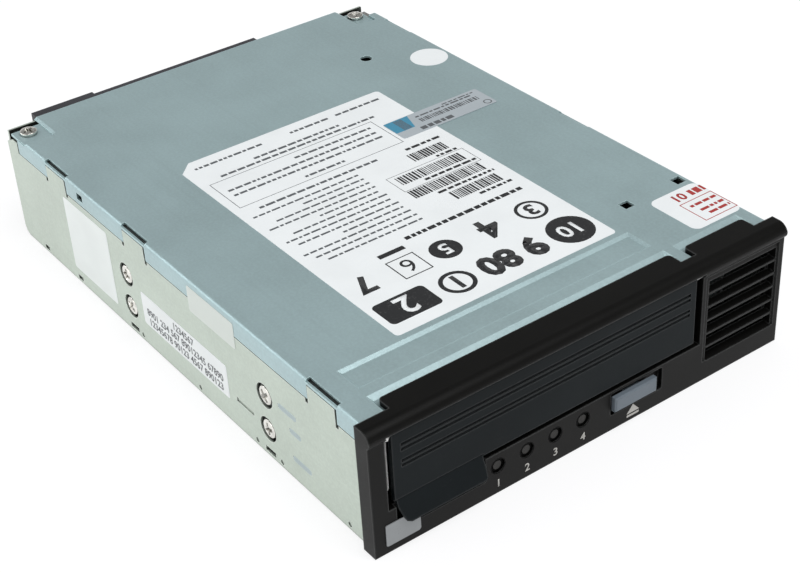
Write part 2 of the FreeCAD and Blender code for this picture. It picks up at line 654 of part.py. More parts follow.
def guide_plate(x0, x1):
    """Upright plate whose vertical slots let the carriage pins move only up and down."""
    plate = prism_x([(14, DECK_TOP), (104, DECK_TOP), (104, 27), (98, 32.5), (20, 32.5), (14, 27)], x0, x1)
    slots = []
    for y in PIN_YS:
        body = box(x0 - 1, x1 + 1, y - PIN_R - 0.2, y + PIN_R + 0.2, PIN_Z - LOAD_DROP, PIN_Z)
        ends = [rod(PIN_R + 0.2, (x0 - 1, y, z), (x1 + 1, y, z)) for z in (PIN_Z, PIN_Z - LOAD_DROP)]
        slots += [body] + ends
    return cut(plate, slots)


def carriage_guide_left():
    """Left guide plate."""
    return guide_plate(-70.1, -69.5)


def carriage_guide_right():
    """Right guide plate."""
    return guide_plate(42.4, 43.2)


def cam_plate(x0, x1, rear):
    """Sliding plate whose sloping slots lower the carriage pins."""
    plate = prism_x([(12, 12), (rear, 12), (rear, 28), (100, 31), (16, 31), (12, 27)], x0, x1)
    slots = []
    for y in PIN_YS:
        r = PIN_R + 0.25
        start, end = (y, PIN_Z), (y - CAM_TRAVEL, PIN_Z - LOAD_DROP)
        run = math.hypot(end[0] - start[0], end[1] - start[1])
        ny, nz = -(end[1] - start[1]) / run * r, (end[0] - start[0]) / run * r
        body = prism_x([(start[0] + ny, start[1] + nz), (end[0] + ny, end[1] + nz),
                        (end[0] - ny, end[1] - nz), (start[0] - ny, start[1] - nz)], x0 - 1, x1 + 1)
        slots += [body] + [rod(r, (x0 - 1, p[0], p[1]), (x1 + 1, p[0], p[1])) for p in (start, end)]
    return cut(plate, slots)


CAM_LEFT = (-69.2, -68.2)
CAM_RIGHT = (40.6, 41.8)


def cam_plate_left():
    """Left cam plate with a neck up to the link bar."""
    neck = box(CAM_LEFT[0], CAM_LEFT[1], 98.0, 112.0, 24.0, 35.6)
    return fuse([cam_plate(CAM_LEFT[0], CAM_LEFT[1], 106.0), neck])


def cam_plate_right():
    """Right cam plate, longer to carry the rack."""
    neck = box(CAM_RIGHT[0], CAM_RIGHT[1], 98.0, 112.0, 24.0, 35.6)
    return fuse([cam_plate(CAM_RIGHT[0], CAM_RIGHT[1], 138.0), neck])


def cam_link_bar():
    """Cross bar that makes both cam plates move together."""
    return box(CAM_LEFT[1], CAM_RIGHT[0], 108.8, 111.6, 34.0, 35.4)


def cartridge_carriage():
    """Folded bucket that holds the cartridge: side walls, ledges, roof frame and stop."""
    half = CARTRIDGE_WIDTH / 2 + 0.3
    left, right = BAY_CENTRE_X - half, BAY_CENTRE_X + half
    sheet = 0.8
    y0, y1 = 6.0, 107.2
    low, high = CARTRIDGE_FLOOR_Z - sheet, 37.6
    outer = box(left - sheet, right + sheet, y0, y1, low, high)
    inner = box(left, right, y0 - 1, y1 - sheet, CARTRIDGE_FLOOR_Z, high - sheet)
    floor_gap = box(left + 8, right - 8, y0 - 1, y1 + 1, low - 1, CARTRIDGE_FLOOR_Z + 0.1)
    roof = soften(box(left + 12, right - 12, y0 + 16, y1 - 12, high - 2, high + 1), 5, V(0, 0, 1))
    stop = box(left + 14, right - 14, y1 - 2, y1 + 1, CARTRIDGE_FLOOR_Z, high - 3)
    tape_gate = box(left - 2, left + 14, y1 - 2, y1 + 1, CARTRIDGE_FLOOR_Z + 1, high - 3)
    return cut(outer, [inner, floor_gap, roof, stop, tape_gate])


def carriage_pins():
    """Four pins riveted in the carriage walls."""
    half = CARTRIDGE_WIDTH / 2 + 0.3 + 0.8
    left, right = BAY_CENTRE_X - half, BAY_CENTRE_X + half
    pins = []
    for y in PIN_YS:
        pins.append(rod(PIN_R, (left, y, PIN_Z), (-70.0, y, PIN_Z)))
        pins.append(rod(PIN_R, (right, y, PIN_Z), (43.1, y, PIN_Z)))
    return group(pins)


def reel_motor(axis, radius, hole):
    """Flat motor body under the deck with a bore for its shaft."""
    body = post(radius, axis[0], axis[1], BOARD_TOP + 0.4, DECK_BOTTOM)
    return cut(body, [post(hole, axis[0], axis[1], 0, 20)])


def supply_reel_motor():
    """Motor of the supply side."""
    return reel_motor(HUB_AXIS, 19.0, 2.05)


def takeup_reel_motor():
    """Motor of the take-up side."""
    return reel_motor(REEL_AXIS, 19.0, 2.05)


def drive_hub():
    """Chuck that turns the cartridge reel: shaft, disc and a crown of teeth."""
    x, y = HUB_AXIS
    shaft = post(2.0, x, y, BOARD_TOP + 0.6, DECK_TOP + 0.4)
    disc = post(13.5, x, y, DECK_TOP + 0.3, DECK_TOP + 2.3)
    crown = cut(post(12.5, x, y, DECK_TOP + 2.2, DECK_TOP + 4.4), [post(9.5, x, y, 8, 20)])
    gaps = []
    for k in range(12):
        gap = prism_y([(-1.0, DECK_TOP + 2.8), (1.0, DECK_TOP + 2.8), (1.7, 20), (-1.7, 20)], 8, 14)
        gap.rotate(V(0, 0, 0), V(0, 0, 1), 30 * k)
        gap.translate(V(x, y, 0))
        gaps.append(gap)
    spigot = Part.makeCone(3.6, 2.6, 2.6, V(x, y, DECK_TOP + 2.2))
    return fuse([shaft, disc, cut(crown, gaps), spigot])


def takeup_reel():
    """Take-up reel: hub, two flanges with windows and a leader slot."""
    x, y = REEL_AXIS
    bore, boss, core, flange = 2.6, 14.0, 21.0, 0.9
    foot = DECK_TOP + 1.2
    body = turned([(bore, foot), (boss, foot), (boss, TAPE_LOW - flange), (REEL_R, TAPE_LOW - flange),
                   (REEL_R, TAPE_LOW), (core, TAPE_LOW), (core, TAPE_HIGH), (REEL_R, TAPE_HIGH),
                   (REEL_R, TAPE_HIGH + flange), (bore, TAPE_HIGH + flange)])
    tools = []
    for k in range(6):
        window = soften(box(24, 32, -5, 5, TAPE_HIGH - 0.5, TAPE_HIGH + 2), 2.5, V(0, 0, 1))
        window.rotate(V(0, 0, 0), V(0, 0, 1), 60 * k + 30)
        tools.append(window)
    tools.append(box(12.0, 24.0, -3.2, 3.2, TAPE_LOW + 0.6, TAPE_HIGH + 2))
    body = cut(body, tools)
    body.translate(V(x, y, 0))
    return body


def takeup_shaft():
    """Shaft of the take-up motor, pressed in the reel."""
    return post(2.0, REEL_AXIS[0], REEL_AXIS[1], BOARD_TOP + 0.6, TAPE_HIGH - 1).fuse(
        post(2.58, REEL_AXIS[0], REEL_AXIS[1], DECK_TOP + 1.2, TAPE_HIGH - 1)).removeSplitter()


def guide_roller(index):
    """Flanged tape roller with a bore for its post."""
    y = ROLLER_YS[index]
    bore, r, rim = 1.55, ROLLER_R, ROLLER_R + 1.0
    body = turned([(bore, TAPE_LOW - 1.0), (rim, TAPE_LOW - 1.0), (rim, TAPE_LOW - 0.2), (r, TAPE_LOW),
                   (r, TAPE_HIGH), (rim, TAPE_HIGH + 0.2), (rim, TAPE_HIGH + 1.0), (bore, TAPE_HIGH + 1.0)])
    body.translate(V(ROLLER_X, y, 0))
    return body


def roller_posts():
    """Fixed posts of the rollers, each with a shoulder and a cap."""
    posts = []
    for y in ROLLER_YS:
        posts.append(fuse([post(1.5, ROLLER_X, y, DECK_TOP, TAPE_HIGH + 2.2),
                           post(2.6, ROLLER_X, y, DECK_TOP, TAPE_LOW - 1.2),
                           post(2.4, ROLLER_X, y, TAPE_HIGH + 1.2, TAPE_HIGH + 2.4)]))
    return group(posts)


HEAD_X = ROLLER_X - ROLLER_R - 0.2
HEAD_STROKE = 1.5


def tape_head():
    """Read and write head: crowned nose on a block with guide bores and a coil arm."""
    low, high = TAPE_LOW - 0.4, TAPE_HIGH + 0.4
    nose = prism_z([(HEAD_X + 1.6, HEAD_Y - 6), (HEAD_X + 0.4, HEAD_Y - 3), (HEAD_X, HEAD_Y - 1),
                    (HEAD_X, HEAD_Y + 1), (HEAD_X + 0.4, HEAD_Y + 3), (HEAD_X + 1.6, HEAD_Y + 6),
                    (HEAD_X + 7, HEAD_Y + 6), (HEAD_X + 7, HEAD_Y - 6)], low, high)
    arm = box(HEAD_X + 6.5, HEAD_X + 10.0, HEAD_Y - 2.5, HEAD_Y + 2.5, 18.0, 24.0)
    bores = [post(1.05, HEAD_X + 4.6, HEAD_Y + s * 4.0, 5, 40) for s in (-1, 1)]
    return cut(fuse([nose, arm]), bores)


def head_guide_posts():
    """Two polished posts that the head slides on."""
    return group(post(1.0, HEAD_X + 4.6, HEAD_Y + s * 4.0, DECK_TOP + 1.5, 32.4) for s in (-1, 1))


def head_bracket():
    """Cast bracket with foot and bridge that holds the guide posts."""
    x0, x1 = HEAD_X + 2.4, HEAD_X + 18.0
    foot = box(x0, x1, HEAD_Y - 8, HEAD_Y + 8, DECK_TOP, DECK_TOP + 1.5)
    spine = box(x1 - 2, x1, HEAD_Y - 8, HEAD_Y + 8, DECK_TOP, 33.6)
    bridge = box(x0, x1, HEAD_Y - 6.5, HEAD_Y + 6.5, 32.4, 33.6)
    return fuse([foot, spine, bridge])


def head_voice_coil():
    """Coil wound on the head's arm."""
    return cut(box(HEAD_X + 10.0, HEAD_X + 12.4, HEAD_Y - 5, HEAD_Y + 5, 16.5, 25.5),
               [box(HEAD_X + 9.0, HEAD_X + 13, HEAD_Y - 2.6, HEAD_Y + 2.6, 19.2, 22.8)])


def voice_coil_magnet():
    """Magnet on the bracket facing the coil."""
    return box(HEAD_X + 13.4, HEAD_X + 16.0, HEAD_Y - 6, HEAD_Y + 6, 13.5, 28.5)


def head_flex_cable():
    """Flat ribbon from the deck up to the head's rear."""
    x = HEAD_X + 9.0
    return fuse([box(x - 2.0, x + 6.0, HEAD_Y + 8.4, HEAD_Y + 8.6, DECK_TOP, 14.2),
                 box(x - 2.0, x - 0.4, HEAD_Y + 6.2, HEAD_Y + 8.6, 14.0, 14.2)])


def grabber_rail():
    """Rail above the tape path that the leader grabber hangs from."""
    rail = box(-67.9, -66.1, 110.0, 158.0, 30.4, 32.0)
    foot = box(-67.9, -66.1, 157.0, 160.0, DECK_TOP, 31.0)
    return fuse([rail, foot])


def leader_grabber():
    """Hooked block that catches the cartridge's leader pin."""
    block = box(-67.7, -64.4, 110.4, 116.4, 13.0, 30.2)
    return cut(block, [box(-65.6, -64.0, 109, 113.0, 15.5, 27.0)])


# ------------------------------------------------------------------ loading gears
def involute_outline(teeth, backlash):
    """Outline of a spur gear with involute flanks, centred on the origin."""
    pitch_r = GEAR_MODULE * teeth / 2
    base_r = pitch_r * math.cos(math.radians(20))
    tip_r = pitch_r + 0.85 * GEAR_MODULE
    root_r = pitch_r - 1.2 * GEAR_MODULE
    inv = math.tan(math.radians(20)) - math.radians(20)
    half_tooth = math.pi / (2 * teeth) - backlash / (2 * pitch_r)
    start_r = max(base_r, root_r + 0.05)
    points = []
    for k in range(teeth):
        middle = 2 * math.pi * k / teeth
        flank = []
        for step in range(4):
            r = start_r + (tip_r - start_r) * step / 3
            roll = math.acos(min(1.0, base_r / r))
            flank.append((r, half_tooth + inv - (math.tan(roll) - roll)))
        ring = [(root_r, -flank[0][1])] + [(r, -a) for r, a in flank]
        ring += [(r, a) for r, a in reversed(flank)] + [(root_r, flank[0][1])]
        points += [(r * math.cos(middle + a), r * math.sin(middle + a)) for r, a in ring]
    return points


def spur_gear(teeth, x, y, turn, bore):
    """Spur gear with a bore at a place in the train."""
    gear = prism_z(involute_outline(teeth, 0.12), GEAR_LOW, GEAR_HIGH)
    gear = cut(gear, [post(bore, 0, 0, GEAR_LOW - 1, GEAR_HIGH + 1)])
    gear.rotate(V(0, 0, 0), V(0, 0, 1), turn)
    gear.translate(V(x, y, 0))
    return gear


def load_rack():
    """Toothed rack riveted to the right cam plate."""
    pitch = math.pi * GEAR_MODULE
    tip, root = RACK_PITCH_X + 0.85 * GEAR_MODULE, RACK_PITCH_X - 1.2 * GEAR_MODULE
    slope = math.tan(math.radians(20))
    half = pitch / 4 - 0.06
    points = [(CAM_RIGHT[1], GEAR_Y - 9.5 * pitch), (root, GEAR_Y - 9.5 * pitch)]
    for k in range(-9, 3):
        y = GEAR_Y + (k + 0.5) * pitch
        tip_half = half - (tip - RACK_PITCH_X) * slope
        root_half = half + (RACK_PITCH_X - root) * slope
        points += [(root, y - root_half), (tip, y - tip_half), (tip, y + tip_half), (root, y + root_half)]
    points += [(root, GEAR_Y + 3.4 * pitch), (CAM_RIGHT[1], GEAR_Y + 3.4 * pitch)]
    return prism_z(points, GEAR_LOW - 0.5, GEAR_HIGH + 0.5)


def load_gear():
    """Idler between the motor pinion and the rack, a tooth pointing at the rack's gap."""
    return spur_gear(GEAR_TEETH, GEAR_X, GEAR_Y, 180, 1.55)


def load_gear_post():
    """Fixed post of the idler."""
    return fuse([post(1.5, GEAR_X, GEAR_Y, DECK_TOP, GEAR_HIGH + 1.0),
                 post(2.8, GEAR_X, GEAR_Y, DECK_TOP, GEAR_LOW - 0.3),
                 post(2.4, GEAR_X, GEAR_Y, GEAR_HIGH + 0.3, GEAR_HIGH + 1.3)])


def load_motor_pinion():
    """Pinion on the motor shaft, a gap facing the idler's tooth."""
    return spur_gear(PINION_TEETH, PINION_X, GEAR_Y, 180 + 180 / PINION_TEETH, 1.0)


def load_motor():
    """Small can motor standing on the deck."""
    can = post(6.0, PINION_X, GEAR_Y, DECK_TOP, GEAR_LOW - 1.2)
    boss = post(2.2, PINION_X, GEAR_Y, GEAR_LOW - 1.3, GEAR_LOW - 0.5)
    return cut(fuse([can, boss]), [post(1.05, PINION_X, GEAR_Y, DECK_TOP + 4, 30)])


def load_motor_shaft():
    """Motor shaft that carries the pinion."""
    return post(1.0, PINION_X, GEAR_Y, DECK_TOP + 4.2, GEAR_HIGH + 0.8)


# ------------------------------------------------------------------ write the pieces
PIECES = {
    "base_chassis": base_chassis,
    "top_cover": top_cover,
    "cover_screws": cover_screws,
    "cover_screw_blocks": cover_screw_blocks,
    "side_mounting_screws": side_mounting_screws,
    "front_bezel": front_bezel,
    "cartridge_door": cartridge_door,
    "door_hinge_pins": door_hinge_pins,
    "door_return_spring": door_return_spring,
    "eject_button": eject_button,
    "led_light_pipes": led_light_pipes,
    "front_panel_board": front_panel_board,
    "status_leds": status_leds,
    "eject_switch": eject_switch,
    "main_circuit_board": main_circuit_board,
    "board_spacers": board_spacers,
    "board_chips": board_chips,
    "rear_connector_block": rear_connector_block,
    "power_pins": power_pins,
    "data_contact_tongue": data_contact_tongue,
    "mechanism_deck": mechanism_deck,
    "carriage_guide_left": carriage_guide_left,
    "carriage_guide_right": carriage_guide_right,
    "cartridge_carriage": cartridge_carriage,
    "carriage_pins": carriage_pins,
    "cam_plate_left": cam_plate_left,
    "cam_plate_right": cam_plate_right,
    "cam_link_bar": cam_link_bar,
    "load_rack": load_rack,
    "load_gear": load_gear,
    "load_gear_post": load_gear_post,
    "load_motor": load_motor,
    "load_motor_shaft": load_motor_shaft,
    "load_motor_pinion": load_motor_pinion,
    "supply_reel_motor": supply_reel_motor,
    "drive_hub": drive_hub,
    "takeup_reel_motor": takeup_reel_motor,
    "takeup_reel": takeup_reel,
    "takeup_shaft": takeup_shaft,
    "guide_roller_front": lambda: guide_roller(0),
    "guide_roller_rear": lambda: guide_roller(1),
    "roller_posts": roller_posts,
    "tape_head": tape_head,
    "head_voice_coil": head_voice_coil,
    "head_guide_posts": head_guide_posts,
    "head_bracket": head_bracket,
    "voice_coil_magnet": voice_coil_magnet,
    "head_flex_cable": head_flex_cable,
    "grabber_rail": grabber_rail,
    "leader_grabber": leader_grabber,
}

os.makedirs("parts", exist_ok=True)
for name, build in PIECES.items():
    shape = build()
    shape.translate(V(0, SHIFT_Y, 0))
    if not shape.isValid():
        print("not valid:", name)
    print(f"{name}: {len(shape.Solids)} solid(s), {shape.Volume:.0f} mm3")
    shape.exportStep(f"parts/{name}.step")
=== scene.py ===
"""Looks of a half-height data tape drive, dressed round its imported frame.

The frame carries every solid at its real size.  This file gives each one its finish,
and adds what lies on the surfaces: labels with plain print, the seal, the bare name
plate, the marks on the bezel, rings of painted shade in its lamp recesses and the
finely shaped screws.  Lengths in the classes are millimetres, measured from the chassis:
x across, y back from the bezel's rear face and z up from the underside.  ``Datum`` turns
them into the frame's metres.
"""
import logging
import math
import random
from dataclasses import dataclass
from enum import Enum
from typing import Any, Dict, Iterable, List, Optional, Sequence, Tuple, Union

import bmesh
import bpy
from mathutils import Matrix, Quaternion, Vector


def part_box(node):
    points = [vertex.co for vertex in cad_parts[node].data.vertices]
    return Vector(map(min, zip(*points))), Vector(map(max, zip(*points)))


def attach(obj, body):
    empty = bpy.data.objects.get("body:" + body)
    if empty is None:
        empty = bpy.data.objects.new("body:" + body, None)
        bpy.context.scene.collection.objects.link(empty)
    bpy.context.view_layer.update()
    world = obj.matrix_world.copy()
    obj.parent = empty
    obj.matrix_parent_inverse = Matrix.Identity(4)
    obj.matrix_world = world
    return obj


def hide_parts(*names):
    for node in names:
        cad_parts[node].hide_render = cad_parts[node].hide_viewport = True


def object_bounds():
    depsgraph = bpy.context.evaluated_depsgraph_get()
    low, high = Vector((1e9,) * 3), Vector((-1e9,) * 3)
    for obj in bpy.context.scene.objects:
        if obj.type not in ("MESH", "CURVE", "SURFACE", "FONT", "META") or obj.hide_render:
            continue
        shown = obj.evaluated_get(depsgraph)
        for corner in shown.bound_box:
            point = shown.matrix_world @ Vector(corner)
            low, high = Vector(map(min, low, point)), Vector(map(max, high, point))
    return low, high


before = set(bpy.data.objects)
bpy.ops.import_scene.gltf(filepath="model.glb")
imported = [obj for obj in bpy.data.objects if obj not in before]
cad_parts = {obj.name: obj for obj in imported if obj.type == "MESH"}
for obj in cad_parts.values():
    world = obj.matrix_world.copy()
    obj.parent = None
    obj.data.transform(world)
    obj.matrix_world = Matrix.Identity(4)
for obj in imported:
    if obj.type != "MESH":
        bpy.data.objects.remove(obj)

CAD_BOX = [list(map(float, corner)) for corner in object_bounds()]
MM = 0.001
BEZEL_DEPTH = 6.2  # from the bezel's foremost edge to its rear face
PIPE_RECESS = 0.5  # from the bezel's face back to the ends of the light pipes
SINK = 0.004  # how far print reaches into what it lies on

log = logging.getLogger("tape_drive")

Triple = Tuple[float, float, float]
Colour = Triple
Point2 = Tuple[float, float]
Rect = Tuple[float, float, float, float]  # left, right, bottom, top
Row = Triple  # left, right, bottom
Figure = Tuple[str, float, float, float, float]  # text, across, up, height, boldness

WHITE: Colour = (1.0, 1.0, 1.0)
DUST: Colour = (0.42, 0.41, 0.38)
# Grey laid on open edges of mouldings: painted highlight.
HIGHLIGHT_GREY: Colour = (0.30, 0.31, 0.31)


# ---------------------------------------------------------------- places on the drive
class Side(Enum):
    """Face of the drive that a flat piece lies on."""

    TOP = "top"
    LEFT = "left"
    FRONT = "front"


@dataclass(frozen=True)
class Datum:
    """Reference planes read from the frame, in metres."""

    front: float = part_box("front_bezel")[0].y + BEZEL_DEPTH * MM
    left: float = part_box("base_chassis")[0].x
    under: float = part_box("base_chassis")[0].z
    top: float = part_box("top_cover")[1].z
    face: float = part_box("led_light_pipes")[0].y - PIPE_RECESS * MM

    def plane(self, side: Side, lift: float) -> Matrix:
        """Matrix from a face's own (u, v, w) in millimetres to the frame.

        Args:
            side: the face; u runs left to right and v upwards for someone facing it.
            lift: height above the face in millimetres.

        Returns:
            A 4 x 4 matrix; w points out of the face.
        """
        x, y, z = Matrix.Identity(3)
        axes, origin = {
            Side.TOP: ((x, y, z), (0, self.front, self.top)),
            Side.LEFT: ((-y, z, -x), (self.left, self.front, self.under)),
            Side.FRONT: ((x, z, -y), (0, self.face, self.under)),
        }[side]
        turned = Matrix([axis * MM for axis in axes]).transposed().to_4x4()
        return Matrix.Translation(origin) @ turned @ Matrix.Translation((0, 0, lift))


DATUM = Datum()


# ---------------------------------------------------------------- shader expressions
class Sock:
    """A shader socket that takes part in Python arithmetic."""

    def __init__(self, owner: "NodeTree", link: bpy.types.NodeSocket) -> None:
        """Remember the tree and the output that this value comes from."""
        self.owner = owner
        self.link = link

    def _math(self, operation: str, left: Any, right: Any = 0.0) -> "Sock":
        """Add one Math node."""
        return self.owner.add("Math", {"operation": operation}, {0: left, 1: right})

    def __add__(self, other: Any) -> "Sock":
        """Sum."""
        return self._math("ADD", self, other)

    def __sub__(self, other: Any) -> "Sock":
        """Difference."""
        return self._math("SUBTRACT", self, other)

    def __rsub__(self, other: Any) -> "Sock":
        """Difference from a number."""
        return self._math("SUBTRACT", other, self)

    def __mul__(self, other: Any) -> "Sock":
        """Product."""
        return self._math("MULTIPLY", self, other)

    __radd__ = __add__
    __rmul__ = __mul__

    def above(self, level: Any) -> "Sock":
        """One where this is above a level, else nought."""
        return self._math("GREATER_THAN", self, level)

    def over(self, other: Any) -> "Sock":
        """The larger of two values."""
        return self._math("MAXIMUM", self, other)

    def size(self) -> "Sock":
        """The value without its sign."""
        return self._math("ABSOLUTE", self)

    def zigzag(self, top: float) -> "Sock":
        """Even rise and fall between nought and a top value."""
        return self._math("PINGPONG", self, top)

    def sway(self, reach: float) -> "Sock":
        """Swing about nought, made of a value that runs from nought to one."""
        return (self - 0.5) * reach

    def band(self, low: float, high: float) -> "Sock":
        """Smooth rise from nought at one level to one at another."""
        return self.owner.add("MapRange", {"interpolation_type": "SMOOTHSTEP"},
                              {"Value": self, "From Min": low, "From Max": high})


class NodeTree:
    """Shader nodes, added one at a time to an emptied tree."""

    def __init__(self, tree: bpy.types.NodeTree) -> None:
        """Take over a tree and empty it."""
        self.tree = tree
        tree.nodes.clear()

    def add(self, kind: str, settings: Optional[Dict[str, Any]] = None,
            values: Optional[Dict[Union[int, str], Any]] = None, out: Union[int, str] = 0) -> Sock:
        """Add a node.

        Args:
            kind: the node's type, without the leading ShaderNode.
            settings: what is set on the node first.
            values: numbers, colours or sockets for its inputs.
            out: the output that is returned.

        Returns:
            That output.
        """
        node = self.tree.nodes.new("ShaderNode" + kind)
        for key, value in (settings or {}).items():
            setattr(node, key, value)
        for key, value in (values or {}).items():
            self.feed(node.inputs[key], value)
        return Sock(self, node.outputs[out])

    def feed(self, socket: bpy.types.NodeSocket, value: Any) -> None:
        """Link or set one input.

        Args:
            socket: the input.
            value: a socket, a number or a colour.
        """
        if isinstance(value, Sock):
            self.tree.links.new(value.link, socket)
        elif isinstance(value, tuple) and socket.type == "RGBA":
            socket.default_value = (*value, 1.0)
        else:
            socket.default_value = value

    def mix(self, share: Any, first: Any, second: Any) -> Sock:
        """Blend two colours by the share of the second."""
        return self.add("Mix", {"data_type": "RGBA"}, {0: share, 6: first, 7: second}, out=2)

    def close(self, surface: Sock, kind: str = "OutputMaterial") -> None:
        """Join a surface to the tree's output."""
        output = self.tree.nodes.new("ShaderNode" + kind)
        self.tree.links.new(surface.link, output.inputs["Surface"])


class Shader(NodeTree):
    """Node tree of one material."""

    BEVEL_SAMPLES = 4
    HOLLOW_SAMPLES = 6
    OPENNESS = (0.25, 0.85)
    EDGE_TURN = (0.01, 0.12)

    def __init__(self, name: str) -> None:
        """Make an empty material of a given name."""
        self.material = bpy.data.materials.new(name)
        self.material.use_nodes = True
        super().__init__(self.material.node_tree)
        self.place = self.add("TexCoord", out="Object")

    def stretched(self, scale: Triple) -> Sock:
        """Object place multiplied along each axis."""
        return self.add("VectorMath", {"operation": "MULTIPLY"}, {0: self.place, 1: scale})

    def axis(self, index: int) -> Sock:
        """Object place along one axis: 0, 1 or 2."""
        return self.add("SeparateXYZ", None, {0: self.place}, out=index)

    def noise(self, scale: float, detail: float = 2.0, rough: float = 0.5,
              where: Optional[Sock] = None) -> Sock:
        """Soft noise from nought to one, by waves per metre, octaves and the finer ones' strength."""
        return self.add("TexNoise", None, {"Vector": where or self.place, "Scale": scale,
                                                     "Detail": detail, "Roughness": rough})

    def rounded(self, radius: float) -> Sock:
        """Normal that looks as though sharp edges were rounded, by a radius in millimetres."""
        return self.add("Bevel", {"samples": self.BEVEL_SAMPLES}, {"Radius": radius * MM})

    def hollow(self, reach: float) -> Sock:
        """Rises from nought on open faces to one deep in hollows, over a reach in millimetres."""
        openness = self.add("AmbientOcclusion", {"samples": self.HOLLOW_SAMPLES},
                            {"Distance": reach * MM}, out="AO")
        return 1 - openness.band(*self.OPENNESS)

    def edges(self, radius: float) -> Sock:
        """One along sharp edges, fading over a radius in millimetres."""
        flat = self.add("NewGeometry", out="Normal")
        turn = self.add("VectorMath", {"operation": "DOT_PRODUCT"},
                        {0: self.rounded(radius), 1: flat}, out="Value")
        return (1 - turn).band(*self.EDGE_TURN)

    def bump(self, height: Sock, depth: float, strength: float, normal: Optional[Sock] = None) -> Sock:
        """Bump from a height.

        Args:
            height: height from nought to one.
            depth: its depth in millimetres.
            strength: how strongly it is felt.
            normal: a normal to start from.

        Returns:
            The normal.
        """
        values: Dict[Union[int, str], Any] = {"Height": height, "Distance": depth * MM, "Strength": strength}
        if normal is not None:
            values["Normal"] = normal
        return self.add("Bump", None, values)

    def finish(self, tone: Sock, rough: Sock, normal: Sock, **others: Any) -> bpy.types.Material:
        """Close the tree with a principled surface.

        Args:
            tone: its colour.
            rough: its roughness.
            normal: its normal.
            others: further inputs, with underscores for spaces.

        Returns:
            The material.
        """
        inputs = {"Base Color": tone, "Roughness": rough, "Normal": normal}
        inputs.update({key.replace("_", " "): value for key, value in others.items()})
        self.close(self.add("BsdfPrincipled", None, inputs))
        return self.material


# ---------------------------------------------------------------- finishes
@dataclass(frozen=True)
class Finish:
    """Something a surface can be finished in."""

    name: str
    colour: Colour

    def material(self) -> bpy.types.Material:
        """The finish as a material, made once."""
        return bpy.data.materials.get(self.name) or self.make(Shader(self.name))

    def make(self, shader: Shader) -> bpy.types.Material:
        """Build the material's nodes."""
        raise NotImplementedError

    def shade(self, factor: float) -> Colour:
        """The finish's colour made lighter or darker."""
        r, g, b = (min(1.0, c * factor) for c in self.colour)
        return (r, g, b)

    def tint(self, tone: Sock, pattern: Sock, share: float, factor: float) -> Sock:
        """Blend the finish's own colour, made lighter or darker, into a tone where a pattern is."""
        return pattern.owner.mix(pattern * share, tone, self.shade(factor))


@dataclass(frozen=True)
class ZincSheet(Finish):
    """Cold-rolled zinc-coated sheet: soft mottling, faint rolling lines, scratches from rubbing, painted
    shade, painted edge highlight.
    """

    metal: float = 0.55
    rough: float = 0.42
    edge: float = 0.25
    # how strongly hollows are darkened: painted shade
    hollow_shade: float = 0.55
    # half-width of the walls inside which faces get painted shade; nought for none
    shaded_half: float = 0.0
    floor_sheet: float = 0.5
    rear_sheet: float = 1.2
    lines: Triple = (900.0, 14.0, 900.0)
    scratches: Triple = (60.0, 9.0, 60.0)

    def make(self, shader: Shader) -> bpy.types.Material:
        """Build the material's nodes."""
        cloud = shader.noise(26.0, 3.0, 0.6)
        speck = shader.noise(1100.0, 3.0, 0.65)
        cell = shader.add("TexVoronoi", None, {"Vector": shader.place, "Scale": 420.0}, out="Color")
        spangle = shader.add("SeparateColor", None, {"Color": cell})
        rolled = shader.noise(1.0, 3.0, 0.6, shader.stretched(self.lines))
        rub = shader.noise(3.0, 6.0, 0.7, shader.stretched(self.scratches)).band(0.62, 0.72)
        shaded_hollow = shader.hollow(1.6)
        tone = shader.mix(cloud.band(0.3, 0.7), self.shade(0.95), self.shade(1.05))
        tone = self.tint(tone, speck.band(0.35, 0.7), share=0.16, factor=1.5)
        tone = self.tint(tone, rolled.band(0.45, 0.75), share=0.10, factor=0.7)
        tone = self.tint(tone, rub, share=0.12, factor=1.35)
        # Open sharp edges are lightened as though catching the light: painted highlight.
        tone = self.tint(tone, shader.edges(0.7) * (1 - shaded_hollow), share=0.4, factor=1.8)
        # Hollows are darkened towards near black: painted shade in creases, gaps and recesses.
        tone = self.tint(tone, shaded_hollow, share=self.hollow_shade, factor=0.08)
        # Faces inside the walls are darkened to near black: painted shade.
        if self.shaded_half > 0:
            tone = self.tint(tone, self.painted_inside_shade(shader), share=1.0, factor=0.05)
        rough = self.rough + cloud.sway(0.10) + spangle.sway(0.05) - rub * 0.06
        normal = shader.bump(speck + rolled * 0.6, 0.012, 0.5, shader.rounded(self.edge))
        return shader.finish(tone, rough, normal, Metallic=self.metal)

    def painted_inside_shade(self, shader: Shader) -> Sock:
        """One on faces inside the folded walls, which are darkened as painted shade."""
        x, y, z = (shader.axis(i) for i in range(3))
        low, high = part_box("base_chassis")
        within = (1 - x.size().above(self.shaded_half * MM)) * z.above(low.z + self.floor_sheet * MM)
        return within * (1 - y.above(high.y - self.rear_sheet * MM))


